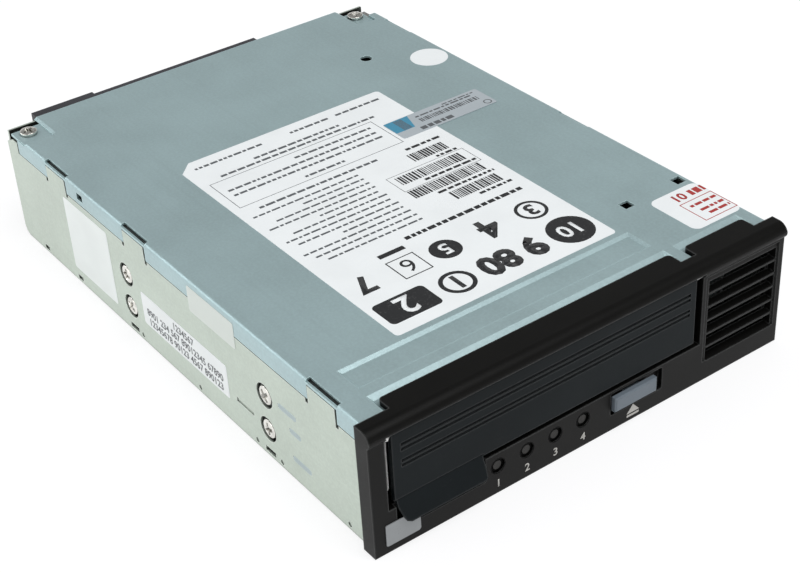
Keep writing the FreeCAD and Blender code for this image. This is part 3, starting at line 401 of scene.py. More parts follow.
@dataclass(frozen=True)
class Moulding(Finish):
    """Moulded plastic: eroded grain, fine dust, shinier patches worn by handling, painted shade in hollows,
    painted edge highlight.
    """

    rough: float = 0.46
    grain: float = 2600.0
    depth: float = 0.018
    edge: float = 0.22
    # width of the lightened edges as a multiple of the rounding: painted highlight
    edge_highlight_width: float = 3.2
    dust: float = 0.05
    sheen: float = 0.22
    # how strongly open edges are lightened: painted highlight
    edge_highlight_share: float = 0.10
    # how strongly hollows are darkened: painted shade
    hollow_shade: float = 0.9

    def make(self, shader: Shader) -> bpy.types.Material:
        """Build the material's nodes."""
        grain = shader.noise(self.grain, 2.0, 0.55)
        cloud = shader.noise(34.0, 4.0, 0.6)
        handled = shader.noise(90.0, 3.0, 0.55).band(0.45, 0.75)
        dust = shader.noise(5200.0, 1.0, 0.5).band(0.66, 0.78) * shader.noise(220.0).band(0.4, 0.8)
        shaded_hollow = shader.hollow(0.9)
        edge_highlight = shader.edges(self.edge * self.edge_highlight_width) * (1 - shaded_hollow)
        tone = shader.mix(cloud.band(0.3, 0.7), self.shade(0.86), self.shade(1.14))
        tone = self.tint(tone, grain.band(0.5, 0.8), share=0.25, factor=1.5)
        tone = shader.mix(dust * self.dust, tone, DUST)
        # Hollows are darkened towards near black: painted shade.
        tone = self.tint(tone, shaded_hollow, share=self.hollow_shade, factor=0.05)
        # Open edges are lightened grey: painted highlight.
        tone = shader.mix(edge_highlight * self.edge_highlight_share, tone, HIGHLIGHT_GREY)
        rough = self.rough + grain.sway(0.16) - handled * 0.07 + dust * 0.1
        normal = shader.bump(grain, self.depth, 0.45, shader.rounded(self.edge))
        return shader.finish(tone, rough, normal, Specular_IOR_Level=self.sheen)


@dataclass(frozen=True)
class BrightMetal(Finish):
    """Plated or ground metal with turning marks, smudges and painted shade in hollows."""

    rough: float = 0.22
    edge: float = 0.12
    marks: Triple = (2400.0, 2400.0, 2400.0)
    metal: float = 1.0
    # how strongly hollows such as the screw recesses are darkened: painted shade
    hollow_shade: float = 0.9

    def make(self, shader: Shader) -> bpy.types.Material:
        """Build the material's nodes."""
        marks = shader.noise(1.0, 3.0, 0.6, shader.stretched(self.marks))
        smudge = shader.noise(320.0, 4.0, 0.6)
        tone = shader.mix(smudge.band(0.35, 0.75), self.shade(1.05), self.shade(0.72))
        # Hollows are darkened towards near black: painted shade.
        tone = self.tint(tone, shader.hollow(1.2), share=self.hollow_shade, factor=0.03)
        rough = self.rough + smudge.band(0.4, 0.8) * 0.16 + marks.sway(0.1)
        normal = shader.bump(marks, 0.01, 0.35, shader.rounded(self.edge))
        return shader.finish(tone, rough, normal, Metallic=self.metal)


@dataclass(frozen=True)
class LabelStock(Finish):
    """Coated label paper or film with a faint ripple and greying."""

    rough: float = 0.38
    metal: float = 0.0

    def make(self, shader: Shader) -> bpy.types.Material:
        """Build the material's nodes."""
        ripple = shader.noise(70.0, 3.0, 0.5)
        fibre = shader.noise(3200.0, 2.0, 0.6)
        tone = shader.mix(ripple.band(0.35, 0.75), self.colour, self.shade(0.955))
        tone = self.tint(tone, fibre.band(0.5, 0.8), share=0.2, factor=0.94)
        rough = self.rough + ripple.sway(0.14) + fibre.sway(0.05)
        normal = shader.bump(ripple * 3.0 + fibre * 0.2, 0.03, 0.35)
        return shader.finish(tone, rough, normal, Metallic=self.metal)


@dataclass(frozen=True)
class Ink(Finish):
    """Printed ink, a little uneven where the ribbon ran thin."""

    rough: float = 0.45
    thin: float = 0.25
    paper: Colour = (0.6, 0.6, 0.6)

    def make(self, shader: Shader) -> bpy.types.Material:
        """Build the material's nodes."""
        worn = shader.noise(1500.0, 4.0, 0.7).band(0.55, 0.85)
        tone = shader.mix(worn * self.thin, self.colour, self.paper)
        return shader.finish(tone, self.rough + worn * 0.15, shader.bump(worn, 0.004, 0.4))


@dataclass(frozen=True)
class CircuitResist(Finish):
    """Solder resist over tracks: green lacquer with slightly raised, lighter traces."""

    rough: float = 0.28
    pitch: float = 1.27
    track_edge: Point2 = (0.28, 0.36)

    def make(self, shader: Shader) -> bpy.types.Material:
        """Build the material's nodes."""
        across = (shader.axis(0) * (1 / MM)).zigzag(self.pitch / 2)
        tracks = across.band(*self.track_edge) * shader.noise(60.0, 0.0).above(0.5)
        blotch = shader.noise(120.0, 3.0)
        tone = shader.mix(tracks, self.colour, self.shade(1.9))
        tone = self.tint(tone, blotch.band(0.4, 0.7), share=0.3, factor=0.7)
        return shader.finish(tone, self.rough + blotch * 0.12, shader.bump(tracks, 0.03, 0.6))


@dataclass(frozen=True)
class Winding(Finish):
    """Enamelled wire wound in close turns, with painted shade between the turns."""

    turn: float = 0.25
    rough: float = 0.3
    metal: float = 0.85

    def make(self, shader: Shader) -> bpy.types.Material:
        """Build the material's nodes."""
        half = self.turn / 2
        ridge = (shader.axis(2) * (1 / MM)).zigzag(half) * (1 / half)
        # The wire is darkened in the grooves between turns: painted shade.
        tone = shader.mix(ridge, self.shade(0.35), self.colour)
        rough = self.rough + shader.noise(700.0) * 0.15
        return shader.finish(tone, rough, shader.bump(ridge, 0.08, 0.8), Metallic=self.metal)


@dataclass(frozen=True)
class SmokedLens(Finish):
    """Smoked light pipe end: dark, glossy, faintly frosted."""

    rough: float = 0.3
    sheen: float = 0.25
    edge: float = 0.15

    def make(self, shader: Shader) -> bpy.types.Material:
        """Build the material's nodes."""
        frost = shader.noise(1800.0, 3.0)
        tone = shader.mix(frost.band(0.35, 0.75), self.shade(0.75), self.shade(1.3))
        normal = shader.bump(frost, 0.01, 0.3, shader.rounded(self.edge))
        return shader.finish(tone, self.rough + frost * 0.18, normal, Specular_IOR_Level=self.sheen)


@dataclass(frozen=True)
class SealFilm(Finish):
    """Thin matt film seal, cloudy and nearly opaque."""

    cover: float = 0.93
    rough: float = 0.35

    def make(self, shader: Shader) -> bpy.types.Material:
        """Build the material's nodes."""
        cloud = shader.noise(160.0, 4.0, 0.65)
        fine = shader.noise(2600.0)
        tone = shader.mix(cloud.band(0.35, 0.7), self.colour, self.shade(0.9))
        alpha = self.cover + cloud.sway(0.3)
        normal = shader.bump(cloud * 2.0 + fine * 0.3, 0.03, 0.4)
        return shader.finish(tone, self.rough + fine * 0.2, normal, Alpha=alpha)


class Palette(Enum):
    """The drive's finishes."""

    COVER = ZincSheet("cover_zinc", (0.42, 0.555, 0.575))
    CHASSIS = ZincSheet("chassis_zinc", (0.54, 0.61, 0.54), hollow_shade=0.85, shaded_half=72.4)
    DECK = ZincSheet("deck_steel", (0.06, 0.062, 0.062), rough=0.45, metal=0.3, hollow_shade=0.9)
    BEZEL = Moulding("bezel_charcoal", (0.0045, 0.0044, 0.0040), rough=0.40, sheen=0.12, edge_highlight_share=0.22)
    DOOR = Moulding("door_blue_black", (0.0085, 0.0115, 0.0130), rough=0.42, grain=3000.0, dust=0.12,
                    sheen=0.075, edge_highlight_share=0.14)
    KEY = Moulding("key_grey", (0.145, 0.175, 0.205), rough=0.4, depth=0.01, dust=0.02, sheen=0.4)
    BLOCK = Moulding("connector_black", (0.045, 0.045, 0.052), rough=0.5, dust=0.08)
    GREY = Moulding("engineering_grey", (0.16, 0.16, 0.17), rough=0.42)
    ACETAL = Moulding("white_acetal", (0.62, 0.62, 0.58), rough=0.35, depth=0.008, dust=0.02)
    RESIN = Moulding("chip_resin", (0.02, 0.02, 0.023), rough=0.5, depth=0.01)
    LENS = SmokedLens("smoked_lens", (0.024, 0.023, 0.021))
    # Near-black finish for rings laid in and round the lamp recesses: painted shade.
    RECESS_SHADE = Moulding("recess_painted_shade", (0.0016, 0.0016, 0.0016), rough=0.6, sheen=0.08, edge_highlight_share=0.0)
    STAMP = ZincSheet("stamped_zinc", (0.39, 0.47, 0.48), rough=0.36, hollow_shade=0.0)
    SCREW = BrightMetal("screw_plate", (0.80, 0.79, 0.74), rough=0.2)
    GROUND = BrightMetal("ground_steel", (0.56, 0.56, 0.55), rough=0.3)
    # Near-white, barely metallic colour stands in for the steel wire's glint: painted highlight.
    WIRE = BrightMetal("spring_wire_painted_glint", (0.95, 0.95, 0.93), rough=0.3, metal=0.1, hollow_shade=0.0)
    CASTING = BrightMetal("cast_alloy", (0.58, 0.59, 0.6), rough=0.42, marks=(900.0, 900.0, 900.0))
    GOLD = BrightMetal("brass_gilt", (0.78, 0.55, 0.2), rough=0.22)
    MAGNET = BrightMetal("nickelled_magnet", (0.5, 0.5, 0.5), rough=0.28)
    COIL = Winding("enamelled_wire", (0.62, 0.27, 0.08))
    BOARD = CircuitResist("board_resist", (0.018, 0.085, 0.038))
    FLEX = Ink("flex_film", (0.5, 0.2, 0.03), rough=0.25, paper=(0.3, 0.12, 0.02))
    PAPER = LabelStock("label_white", (0.90, 0.935, 0.95))
    SILVER = LabelStock("label_silver", (0.52, 0.58, 0.62), rough=0.3, metal=0.25)
    SATIN = LabelStock("label_satin", (0.87, 0.92, 0.91), rough=0.34)
    PLATE = LabelStock("name_plate", (0.29, 0.305, 0.315), rough=0.3, metal=0.4)
    SEAL = SealFilm("seal_film", (0.80, 0.86, 0.82))
    BLACK_INK = Ink("black_ink", (0.012, 0.013, 0.015))
    GREY_INK = Ink("grey_ink", (0.10, 0.11, 0.12))
    RED_INK = Ink("red_ink", (0.42, 0.035, 0.03), paper=(0.8, 0.5, 0.5))
    BLUE_INK = Ink("blue_ink", (0.05, 0.27, 0.42), paper=(0.3, 0.5, 0.6))
    WHITE_INK = Ink("white_ink", (0.58, 0.57, 0.54), paper=(0.2, 0.2, 0.2))

    @property
    def material(self) -> bpy.types.Material:
        """The finish as a material."""
        return self.value.material()


NODE_FINISHES: Dict[Palette, Tuple[str, ...]] = {
    Palette.COVER: ("top_cover",),
    Palette.CHASSIS: ("base_chassis",),
    Palette.DECK: ("mechanism_deck", "carriage_guide_left", "carriage_guide_right", "cartridge_carriage"),
    Palette.BEZEL: ("front_bezel",),
    Palette.DOOR: ("cartridge_door",),
    Palette.KEY: ("eject_button",),
    Palette.BLOCK: ("rear_connector_block",),
    Palette.GREY: ("eject_switch", "data_contact_tongue", "drive_hub", "takeup_reel", "tape_head"),
    Palette.ACETAL: ("status_leds", "load_rack", "load_gear", "leader_grabber"),
    Palette.RESIN: ("board_chips",),
    Palette.LENS: ("led_light_pipes",),
    Palette.SCREW: ("cover_screws", "side_mounting_screws", "power_pins"),
    Palette.GROUND: ("cover_screw_blocks", "door_hinge_pins", "board_spacers", "carriage_pins",
                     "cam_plate_left", "cam_plate_right", "cam_link_bar", "load_gear_post",
                     "load_motor_shaft", "takeup_shaft", "guide_roller_front", "guide_roller_rear",
                     "roller_posts", "head_guide_posts", "grabber_rail"),
    Palette.WIRE: ("door_return_spring",),
    Palette.CASTING: ("load_motor", "supply_reel_motor", "takeup_reel_motor", "head_bracket"),
    Palette.GOLD: ("load_motor_pinion",),
    Palette.MAGNET: ("voice_coil_magnet",),
    Palette.COIL: ("head_voice_coil",),
    Palette.BOARD: ("front_panel_board", "main_circuit_board"),
    Palette.FLEX: ("head_flex_cable",),
}


# ---------------------------------------------------------------- meshes and flat shapes
def add_object(name: str, data: Any) -> bpy.types.Object:
    """Put a new object in the scene."""
    item = bpy.data.objects.new(name, data)
    bpy.context.scene.collection.objects.link(item)
    return item


def mesh_data(name: str, work: bmesh.types.BMesh) -> bpy.types.Mesh:
    """Turn a working mesh into mesh data, and free it."""
    data = bpy.data.meshes.new(name)
    work.to_mesh(data)
    work.free()
    return data


def evaluated_mesh(item: bpy.types.Object) -> bpy.types.Mesh:
    """Mesh of an object with its text or its modifiers worked out."""
    bpy.context.view_layer.update()
    return bpy.data.meshes.new_from_object(item.evaluated_get(bpy.context.evaluated_depsgraph_get()))


def bridge(work: bmesh.types.BMesh, first: Sequence[Any], second: Sequence[Any]) -> None:
    """Join two loops of vertices by a band of faces.

    Args:
        work: the working mesh.
        first: the lower or outer loop, anticlockwise.
        second: the other loop, with as many vertices.
    """
    for i in range(len(first)):
        j = (i + 1) % len(first)
        work.faces.new((first[i], first[j], second[j], second[i]))


def arc(centre: Point2, radius: float, start: float, end: float, steps: int = 6) -> List[Point2]:
    """Points along an arc between two angles in degrees, both ends included."""
    angles = [math.radians(start + (end - start) * i / steps) for i in range(steps + 1)]
    return [(centre[0] + radius * math.cos(a), centre[1] + radius * math.sin(a)) for a in angles]


def circle(centre: Point2, radius: float, sides: int) -> List[Point2]:
    """Points round a circle, anticlockwise."""
    return arc(centre, radius, 0, 360, sides)[:-1]


def rounded_box(box: Rect, radius: float, cut: float = 0.0) -> List[Point2]:
    """Outline of a box with round corners.

    Args:
        box: the box.
        radius: corner radius.
        cut: if above nought, the upper left corner is cut straight by this much.

    Returns:
        The outline, anticlockwise.
    """
    u0, u1, v0, v1 = box
    r = radius
    outline = arc((u0 + r, v0 + r), r, 180, 270) + arc((u1 - r, v0 + r), r, 270, 360)
    outline += arc((u1 - r, v1 - r), r, 0, 90)
    if cut > 0:
        return outline + [(u0 + cut, v1), (u0, v1 - cut)]
    return outline + arc((u0 + r, v1 - r), r, 90, 180)


class FlatWork:
    """Collects thin raised shapes on one face into a single mesh."""

    STRIPE_WIDTHS = (0.36, 0.52, 0.8)
    STRIPE_GAPS = (0.26, 0.34, 0.5)
    STRIPE_END = 0.5
    DASH_LENGTHS = (0.9, 3.4)
    DASH_GAP = 0.55
    DASH_END = 0.6
    TEXT_SIZE = 1.42  # size of the text for figures one unit high
    CURVE_STEPS = 3
    WELD = 1e-4

    def __init__(self, side: Side, lift: float, thick: float) -> None:
        """Start on a face.

        Args:
            side: the face.
            lift: height of the underside above the face, in millimetres.
            thick: thickness in millimetres.
        """
        self.matrix = DATUM.plane(side, lift)
        self.thick = thick
        self.mesh = bmesh.new()

    def shape(self, outline: Sequence[Point2], crown: float = 0.0) -> None:
        """Add a closed thin prism.

        Args:
            outline: points anticlockwise.
            crown: width of a small chamfer round its top edge.
        """
        low = [self.mesh.verts.new((u, v, 0)) for u, v in outline]
        high = [self.mesh.verts.new((u, v, self.thick)) for u, v in outline]
        self.mesh.faces.new(low[::-1])
        top = self.mesh.faces.new(high)
        bridge(self.mesh, low, high)
        if crown > 0:
            bmesh.ops.bevel(self.mesh, geom=list(top.edges), offset=crown, segments=1, affect="EDGES")

    def bar(self, box: Rect) -> None:
        """Add a plain rectangle."""
        u0, u1, v0, v1 = box
        self.shape([(u0, v0), (u1, v0), (u1, v1), (u0, v1)])

    def disc(self, centre: Point2, radius: float) -> None:
        """Add a solid round."""
        self.shape(circle(centre, radius, 32))

    def ring(self, centre: Point2, outer: float, inner: float, sides: int = 28) -> None:
        """Add a flat ring.

        Args:
            centre: its middle.
            outer: outer radius.
            inner: inner radius.
            sides: how many runs it has.
        """
        loops = []
        for radius, height in ((outer, 0.0), (outer, self.thick), (inner, self.thick), (inner, 0.0)):
            loops.append([self.mesh.verts.new((u, v, height)) for u, v in circle(centre, radius, sides)])
        for first, second in zip(loops, loops[1:] + loops[:1]):
            bridge(self.mesh, first, second)

    def frame_lines(self, box: Rect, width: float) -> None:
        """Add a rectangular outline drawn with four bars."""
        u0, u1, v0, v1 = box
        self.bar((u0, u1, v0, v0 + width))
        self.bar((u0, u1, v1 - width, v1))
        self.bar((u0, u0 + width, v0 + width, v1 - width))
        self.bar((u1 - width, u1, v0 + width, v1 - width))

    def stripes(self, box: Rect, seed: int) -> None:
        """Fill a box with upright bars of uneven width.

        Args:
            box: the box.
            seed: picks the widths.
        """
        chance = random.Random(seed)
        u, end, v0, v1 = box
        while u < end - self.STRIPE_END:
            width = chance.choice(self.STRIPE_WIDTHS)
            self.bar((u, u + width, v0, v1))
            u += width + chance.choice(self.STRIPE_GAPS)

    def dashes(self, rows: Iterable[Row], height: float, seed: int) -> None:
        """Add lines of short dashes of uneven length.

        Args:
            rows: left end, right end and lower edge of each line.
            height: height of the dashes.
            seed: picks the lengths of the first line; each further line takes the next seed.
        """
        for i, (u, end, v) in enumerate(rows):
            chance = random.Random(seed + i)
            while u < end - self.DASH_END:
                width = min(chance.uniform(*self.DASH_LENGTHS), end - u)
                self.bar((u, u + width, v, v + height))
                u += width + self.DASH_GAP

    def figures(self, rows: Iterable[Figure], turn: float = 0.0) -> None:
        """Add plain figures, each line of them centred on a point.

        Args:
            rows: text, middle across, middle up, height, and boldness as a share of the height.
            turn: turn of each line about its middle, in degrees.
        """
        for text, u, v, height, bold in rows:
            curve = bpy.data.curves.new("figures", "FONT")
            curve.body = text
            curve.size = height * self.TEXT_SIZE
            curve.resolution_u = self.CURVE_STEPS
            curve.offset = bold * height
            curve.align_x = "CENTER"
            holder = add_object("figures", curve)
            flat = evaluated_mesh(holder)
            place = Matrix.Translation((u, v, self.thick)) @ Matrix.Rotation(math.radians(turn), 4, "Z")
            flat.transform(place @ Matrix.Translation((0, -height / 2, 0)))
            self.thicken(flat)
            bpy.data.objects.remove(holder)
            bpy.data.meshes.remove(flat)
            bpy.data.curves.remove(curve)

    def thicken(self, flat: bpy.types.Mesh) -> None:
        """Add a flat mesh and carry its outline down to the underside."""
        start = len(self.mesh.faces)
        self.mesh.from_mesh(flat)
        self.mesh.faces.ensure_lookup_table()
        faces = self.mesh.faces[start:]
        corners = list({v for f in faces for v in f.verts})
        bmesh.ops.remove_doubles(self.mesh, verts=corners, dist=self.WELD)
        faces = [f for f in faces if f.is_valid]
        pushed = bmesh.ops.extrude_face_region(self.mesh, geom=faces, use_keep_orig=True)
        moved = [g for g in pushed["geom"] if isinstance(g, bmesh.types.BMVert)]
        bmesh.ops.translate(self.mesh, verts=moved, vec=(0, 0, -self.thick))

    def piece(self, name: str, finish: Palette) -> None:
        """Close the mesh and put it on the drive."""
        bmesh.ops.recalc_face_normals(self.mesh, faces=self.mesh.faces)
        put_on_drive(self.mesh, name, self.matrix, finish)


def put_on_drive(work: bmesh.types.BMesh, name: str, matrix: Matrix, finish: Palette,
                 body: str = "chassis") -> bpy.types.Object:
    """Turn a working mesh into a piece that rides on a body.

    Args:
        work: the working mesh, freed here.
        name: the piece's name.
        matrix: from the mesh's own units to the frame.
        finish: its finish.
        body: the body it rides on.

    Returns:
        The piece.
    """
    data = mesh_data(name, work)
    data.transform(matrix)
    data.materials.append(finish.material)
    piece = add_object(name, data)
    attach(piece, body)
    log.info("%s: %d faces on %s", name, len(data.polygons), body)
    return piece


def lay_plate(name: str, finish: Palette, side: Side, outline: Sequence[Point2], thick: float,
              lift: float = 0.0, crown: float = 0.03) -> None:
    """Lay one plain label or plate on a face.

    Args:
        name: the piece's name.
        finish: its finish.
        side: the face.
        outline: its outline, anticlockwise.
        thick: its thickness in millimetres.
        lift: height of its underside above the face.
        crown: width of the chamfer round its top edge.
    """
    plate = FlatWork(side, lift, thick)
    plate.shape(outline, crown)
    plate.piece(name, finish)


# ---------------------------------------------------------------- sub-assemblies
@dataclass
class MainLabel:
    """Large white label on the cover with a ruled table, bars and plain figures."""

    box: Rect = (-43.6, 35.8, 23.9, 143.0)
    corner: float = 1.4
    cut: float = 5.0
    thick: float = 0.07
    ink: float = 0.012
    overprint: float = 0.076
    turned: float = 180.0
    table: Rect = (-40.6, 21.4, 108.4, 126.6)
    table_lines: Tuple[Row, ...] = ((-11.0, 18.8, 122.6), (-38.0, 18.8, 118.9),
                                    (-38.0, 18.8, 115.4), (-15.0, 0.0, 110.4))
    headings: Tuple[Row, ...] = ((-39.0, -14.0, 137.4), (-3.0, 12.0, 137.4), (15.0, 33.0, 137.4),
                                 (-21.0, 12.0, 131.0), (-35.0, 25.0, 128.2), (-36.0, 8.0, 104.0))
    text: Row = (-40.6, -2.0, 100.4)
    text_rows: int = 12
    text_step: float = 3.05
    short_rows: Tuple[int, ...] = (1, 4, 8)
    short_by: float = 16.0
    ragged: float = 2.2
    codes: Tuple[Row, ...] = ((16.5, 31.0, 95.6), (5.0, 29.6, 86.4), (3.2, 30.6, 77.4), (12.5, 30.6, 68.8))
    code_height: float = 5.0
    code_text_in: float = 7.0
    code_text_down: float = 2.3
    code_box: Rect = (2.8, 32.8, 82.8, 92.8)
    code_title: Row = (18.6, 32.0, 103.0)
    long_line: Row = (-13.0, 32.0, 60.6)
    dash_mark: Rect = (-25.0, -15.8, 57.2, 59.2)
    square: Rect = (-25.4, -15.6, 44.2, 54.6)
    ground: Rect = (-41.4, -23.8, 28.6, 39.6)
    ground_corner: float = 1.6
    discs: Tuple[Tuple[Point2, float], ...] = (((-7.4, 49.4), 5.0), ((26.6, 33.8), 7.4))
    rings: Tuple[Tuple[Point2, float, float], ...] = (((25.0, 49.6), 5.2, 4.1), ((-15.2, 33.8), 5.6, 4.2))
    dark: Tuple[Figure, ...] = (
        ("7", -36.0, 49.6, 8.0, 0.05), ("6", -20.5, 49.4, 6.6, 0.0), ("4", 9.2, 49.6, 9.6, 0.045),
        ("3", 25.0, 49.6, 5.6, 0.05), ("1", -15.2, 33.8, 6.4, 0.05), ("80", 0.0, 33.8, 9.0, 0.07),
        ("9", 12.8, 33.8, 9.0, 0.08))
    light: Tuple[Figure, ...] = (
        ("2", -32.6, 34.2, 8.0, 0.03), ("5", -7.4, 49.4, 5.4, 0.03), ("10", 26.6, 33.8, 6.0, 0.03))

    def build(self) -> None:
        """Make the label and its print."""
        outline = rounded_box(self.box, self.corner, self.cut)
        lay_plate("main_label", Palette.PAPER, Side.TOP, outline, self.thick)
        small = FlatWork(Side.TOP, self.thick - SINK, self.ink)
        self.small_print(small)
        small.piece("main_label_small_print", Palette.GREY_INK)
        bold = FlatWork(Side.TOP, self.thick - SINK, self.ink)
        self.bars(bold)
        self.marks(bold)
        bold.piece("main_label_bold_print", Palette.BLACK_INK)
        light = FlatWork(Side.TOP, self.overprint, self.ink)
        light.figures(self.light, self.turned)
        light.piece("main_label_light_figures", Palette.PAPER)

    def small_print(self, work: FlatWork) -> None:
        """Ruled table with lines of dashes, and a block of finer lines in front of it."""
        work.frame_lines(self.table, width=0.24)
        work.dashes(self.table_lines, height=1.1, seed=11)
        work.dashes(self.headings, height=1.15, seed=31)
        left, right, v = self.text
        for row in range(self.text_rows):
            inset = self.short_by if row in self.short_rows else self.ragged * (row % 3)
            work.dashes([(left + inset, right, v - self.text_step * row)], height=0.85, seed=51 + row)

    def bars(self, work: FlatWork) -> None:
        """Rows of upright bars with a line of dashes under each."""
        for i, (u0, u1, v) in enumerate(self.codes):
            work.stripes((u0, u1, v, v + self.code_height), seed=71 + i)
        end = self.code_title[1]
        under = [(u0 + self.code_text_in, end, v - self.code_text_down) for u0, _, v in self.codes]
        work.dashes(under, height=1.2, seed=91)
        work.dashes([self.code_title], height=1.3, seed=96)
        work.frame_lines(self.code_box, width=0.18)
        work.dashes([self.long_line], height=1.7, seed=99)

    def marks(self, work: FlatWork) -> None:
        """Two rows of large plain figures in turned order, some in rings and on solid grounds."""
        work.bar(self.dash_mark)
        work.frame_lines(self.square, width=0.4)
        work.shape(rounded_box(self.ground, self.ground_corner))
        for centre, radius in self.discs:
            work.disc(centre, radius)
        for centre, outer, inner in self.rings:
            work.ring(centre, outer, inner)
        work.figures(self.dark, self.turned)


@dataclass
class SilverStrip:
    """Silver strip on the cover with a blue and dark square, fine bars and dashes."""

    box: Rect = (22.6, 61.3, 109.6, 121.8)
    corner: float = 0.8
    lift: float = 0.04
    thick: float = 0.10
    ink: float = 0.012
    dark_ink: float = 0.014
    blue: Tuple[Point2, ...] = ((22.8, 114.0), (30.2, 114.0), (32.4, 121.6), (22.8, 121.6))
    fine_bar: Rect = (26.2, 26.5, 114.2, 121.2)
    fine_count: int = 7
    fine_step: float = 0.48
    code: Rect = (34.0, 58.5, 115.0, 117.4)
    lines: Tuple[Tuple[Row, float], ...] = (((34.0, 58.0, 118.6), 0.8), ((46.0, 59.0, 120.0), 0.6),
                                            ((31.0, 44.0, 110.6), 2.0))
    ring: Point2 = (58.8, 111.8)

    def build(self) -> None:
        """Make the strip and its print."""
        outline = rounded_box(self.box, self.corner)
        lay_plate("silver_strip_label", Palette.SILVER, Side.TOP, outline, self.thick, self.lift)
        top = self.lift + self.thick - SINK
        lay_plate("silver_strip_blue", Palette.BLUE_INK, Side.TOP, self.blue, self.ink, top, crown=0.0)
        dark = FlatWork(Side.TOP, top, self.dark_ink)
        left, right, low, high = self.fine_bar
        for i in range(self.fine_count):
            dark.bar((left + self.fine_step * i, right + self.fine_step * i, low, high))
        dark.stripes(self.code, seed=7)
        for i, (row, height) in enumerate(self.lines):
            dark.dashes([row], height, seed=8 + i)
        dark.ring(self.ring, outer=1.5, inner=1.1, sides=20)
        dark.piece("silver_strip_print", Palette.GREY_INK)


@dataclass
class CornerStickers:
    """Red-printed seal label and plain round sticker on the cover."""

    thick: float = 0.06
    ink: float = 0.012
    seal: Rect = (53.4, 72.6, 9.4, 29.6)
    seal_corner: float = 2.6
    seal_box: Rect = (59.4, 72.4, 11.4, 22.6)
    seal_lines: Tuple[Row, ...] = ((61.4, 71.6, 19.2), (62.4, 71.6, 16.0), (63.4, 71.6, 13.4))
    seal_figure: Figure = ("10", 62.4, 25.9, 3.6, 0.05)
    seal_title: Row = (66.6, 72.4, 24.2)
    dot: Point2 = (64.6, 151.6)
    dot_radius: float = 6.7

    def build(self) -> None:
        """Make the two stickers and the print on one of them."""
        outline = rounded_box(self.seal, self.seal_corner)
        lay_plate("red_seal_label", Palette.PAPER, Side.TOP, outline, self.thick)
        red = FlatWork(Side.TOP, self.thick - SINK, self.ink)
        red.figures([self.seal_figure])
        red.dashes([self.seal_title], height=3.0, seed=3)
        red.frame_lines(self.seal_box, width=0.3)
        red.dashes(self.seal_lines, height=1.2, seed=21)
        red.piece("red_seal_print", Palette.RED_INK)
        lay_plate("round_sticker", Palette.PAPER, Side.TOP, circle(self.dot, self.dot_radius, 40), self.thick)


@dataclass
class SideLabels:
    """Labels and marks on the left wall: satin and white labels, a film seal, stamped strips."""

    thick: float = 0.07
    ink: float = 0.012
    satin: Rect = (-166.3, -136.7, 5.2, 32.2)
    white: Rect = (-118.2, -68.0, 8.4, 20.2)
    corner: float = 0.9
    rows: Tuple[Tuple[str, float], ...] = (("1234567", 17.7), ("8901 234 567 89012345 67890", 14.2),
                                           ("12345678 90123 4567 890123", 10.7))
    middle: float = -93.0
    figure_height: float = 2.5
    boldness: float = 0.035
    seal: Rect = (-86.0, -60.6, 30.0, 39.0)
    seal_thick: float = 0.05
    seal_lift: float = 0.02
    groove_depth: float = 0.28
    strip_thick: float = 0.31
    strip_half: float = 0.95
    strip_corner: float = 0.8
    strips: Tuple[Triple, ...] = ((31.4, 40.3, 23.0), (29.8, 35.4, 17.3), (26.0, 35.0, 7.8))

    def build(self) -> None:
        """Make the labels and the strips along the floors of the grooves near the bezel."""
        for name, finish, box in (("side_satin_label", Palette.SATIN, self.satin),
                                  ("side_white_label", Palette.PAPER, self.white)):
            lay_plate(name, finish, Side.LEFT, rounded_box(box, self.corner), self.thick)
        ink = FlatWork(Side.LEFT, self.thick - SINK, self.ink)
        ink.figures([(text, self.middle, v, self.figure_height, self.boldness) for text, v in self.rows])
        ink.piece("side_white_print", Palette.GREY_INK)
        lay_plate("side_film_seal", Palette.SEAL, Side.LEFT, rounded_box(self.seal, self.strip_corner),
                  self.seal_thick, self.seal_lift, crown=0.02)
        strips = FlatWork(Side.LEFT, -self.groove_depth, self.strip_thick)
        for near, far, z in self.strips:
            strip = (-far, -near, z - self.strip_half, z + self.strip_half)
            strips.shape(rounded_box(strip, self.strip_corner), crown=0.08)
        strips.piece("stamped_strips", Palette.STAMP)


@dataclass
class BezelMarks:
    """Bare name plate, rings of painted shade in and round the lamp recesses, figures under the lamps and the
    eject mark.
    """

    plate: Rect = (-71.0, -59.8, 2.4, 9.6)
    plate_corner: float = 0.6
    plate_thick: float = 0.25
    ink: float = 0.02
    lamp_xs: Tuple[float, ...] = (-33.3, -23.15, -13.0, -2.85)
    lamp_height: float = 9.3
    recess: float = 1.95
    collar_gap: float = 0.75
    figure_middle: float = 3.4
    figure_height: float = 2.6
    arrow: Tuple[Point2, ...] = ((13.7, 2.5), (18.5, 2.5), (16.1, 5.3))
    arrow_bar: Rect = (13.8, 18.4, 1.3, 2.05)

    def build(self) -> None:
        """Make the plate, the rings of painted shade and the marks."""
        lay_plate("name_plate", Palette.PLATE, Side.FRONT, rounded_box(self.plate, self.plate_corner),
                  self.plate_thick, crown=0.1)
        # Near-black rings on the recess floors and round their rims: painted shade.
        collars = FlatWork(Side.FRONT, -self.recess, self.recess - self.collar_gap)
        rims = FlatWork(Side.FRONT, -0.02, 0.05)
        for x in self.lamp_xs:
            collars.ring((x, self.lamp_height), outer=2.33, inner=1.45)
            rims.ring((x, self.lamp_height), outer=2.62, inner=2.3)
        collars.piece("lamp_recess_shade_collars", Palette.RECESS_SHADE)
        rims.piece("lamp_recess_shade_rims", Palette.RECESS_SHADE)
        marks = FlatWork(Side.FRONT, -SINK, self.ink)
        marks.figures([(str(i + 1), x, self.figure_middle, self.figure_height, 0.02)
                       for i, x in enumerate(self.lamp_xs)])
        marks.shape(self.arrow)
        marks.bar(self.arrow_bar)
        marks.piece("bezel_marks", Palette.WHITE_INK)


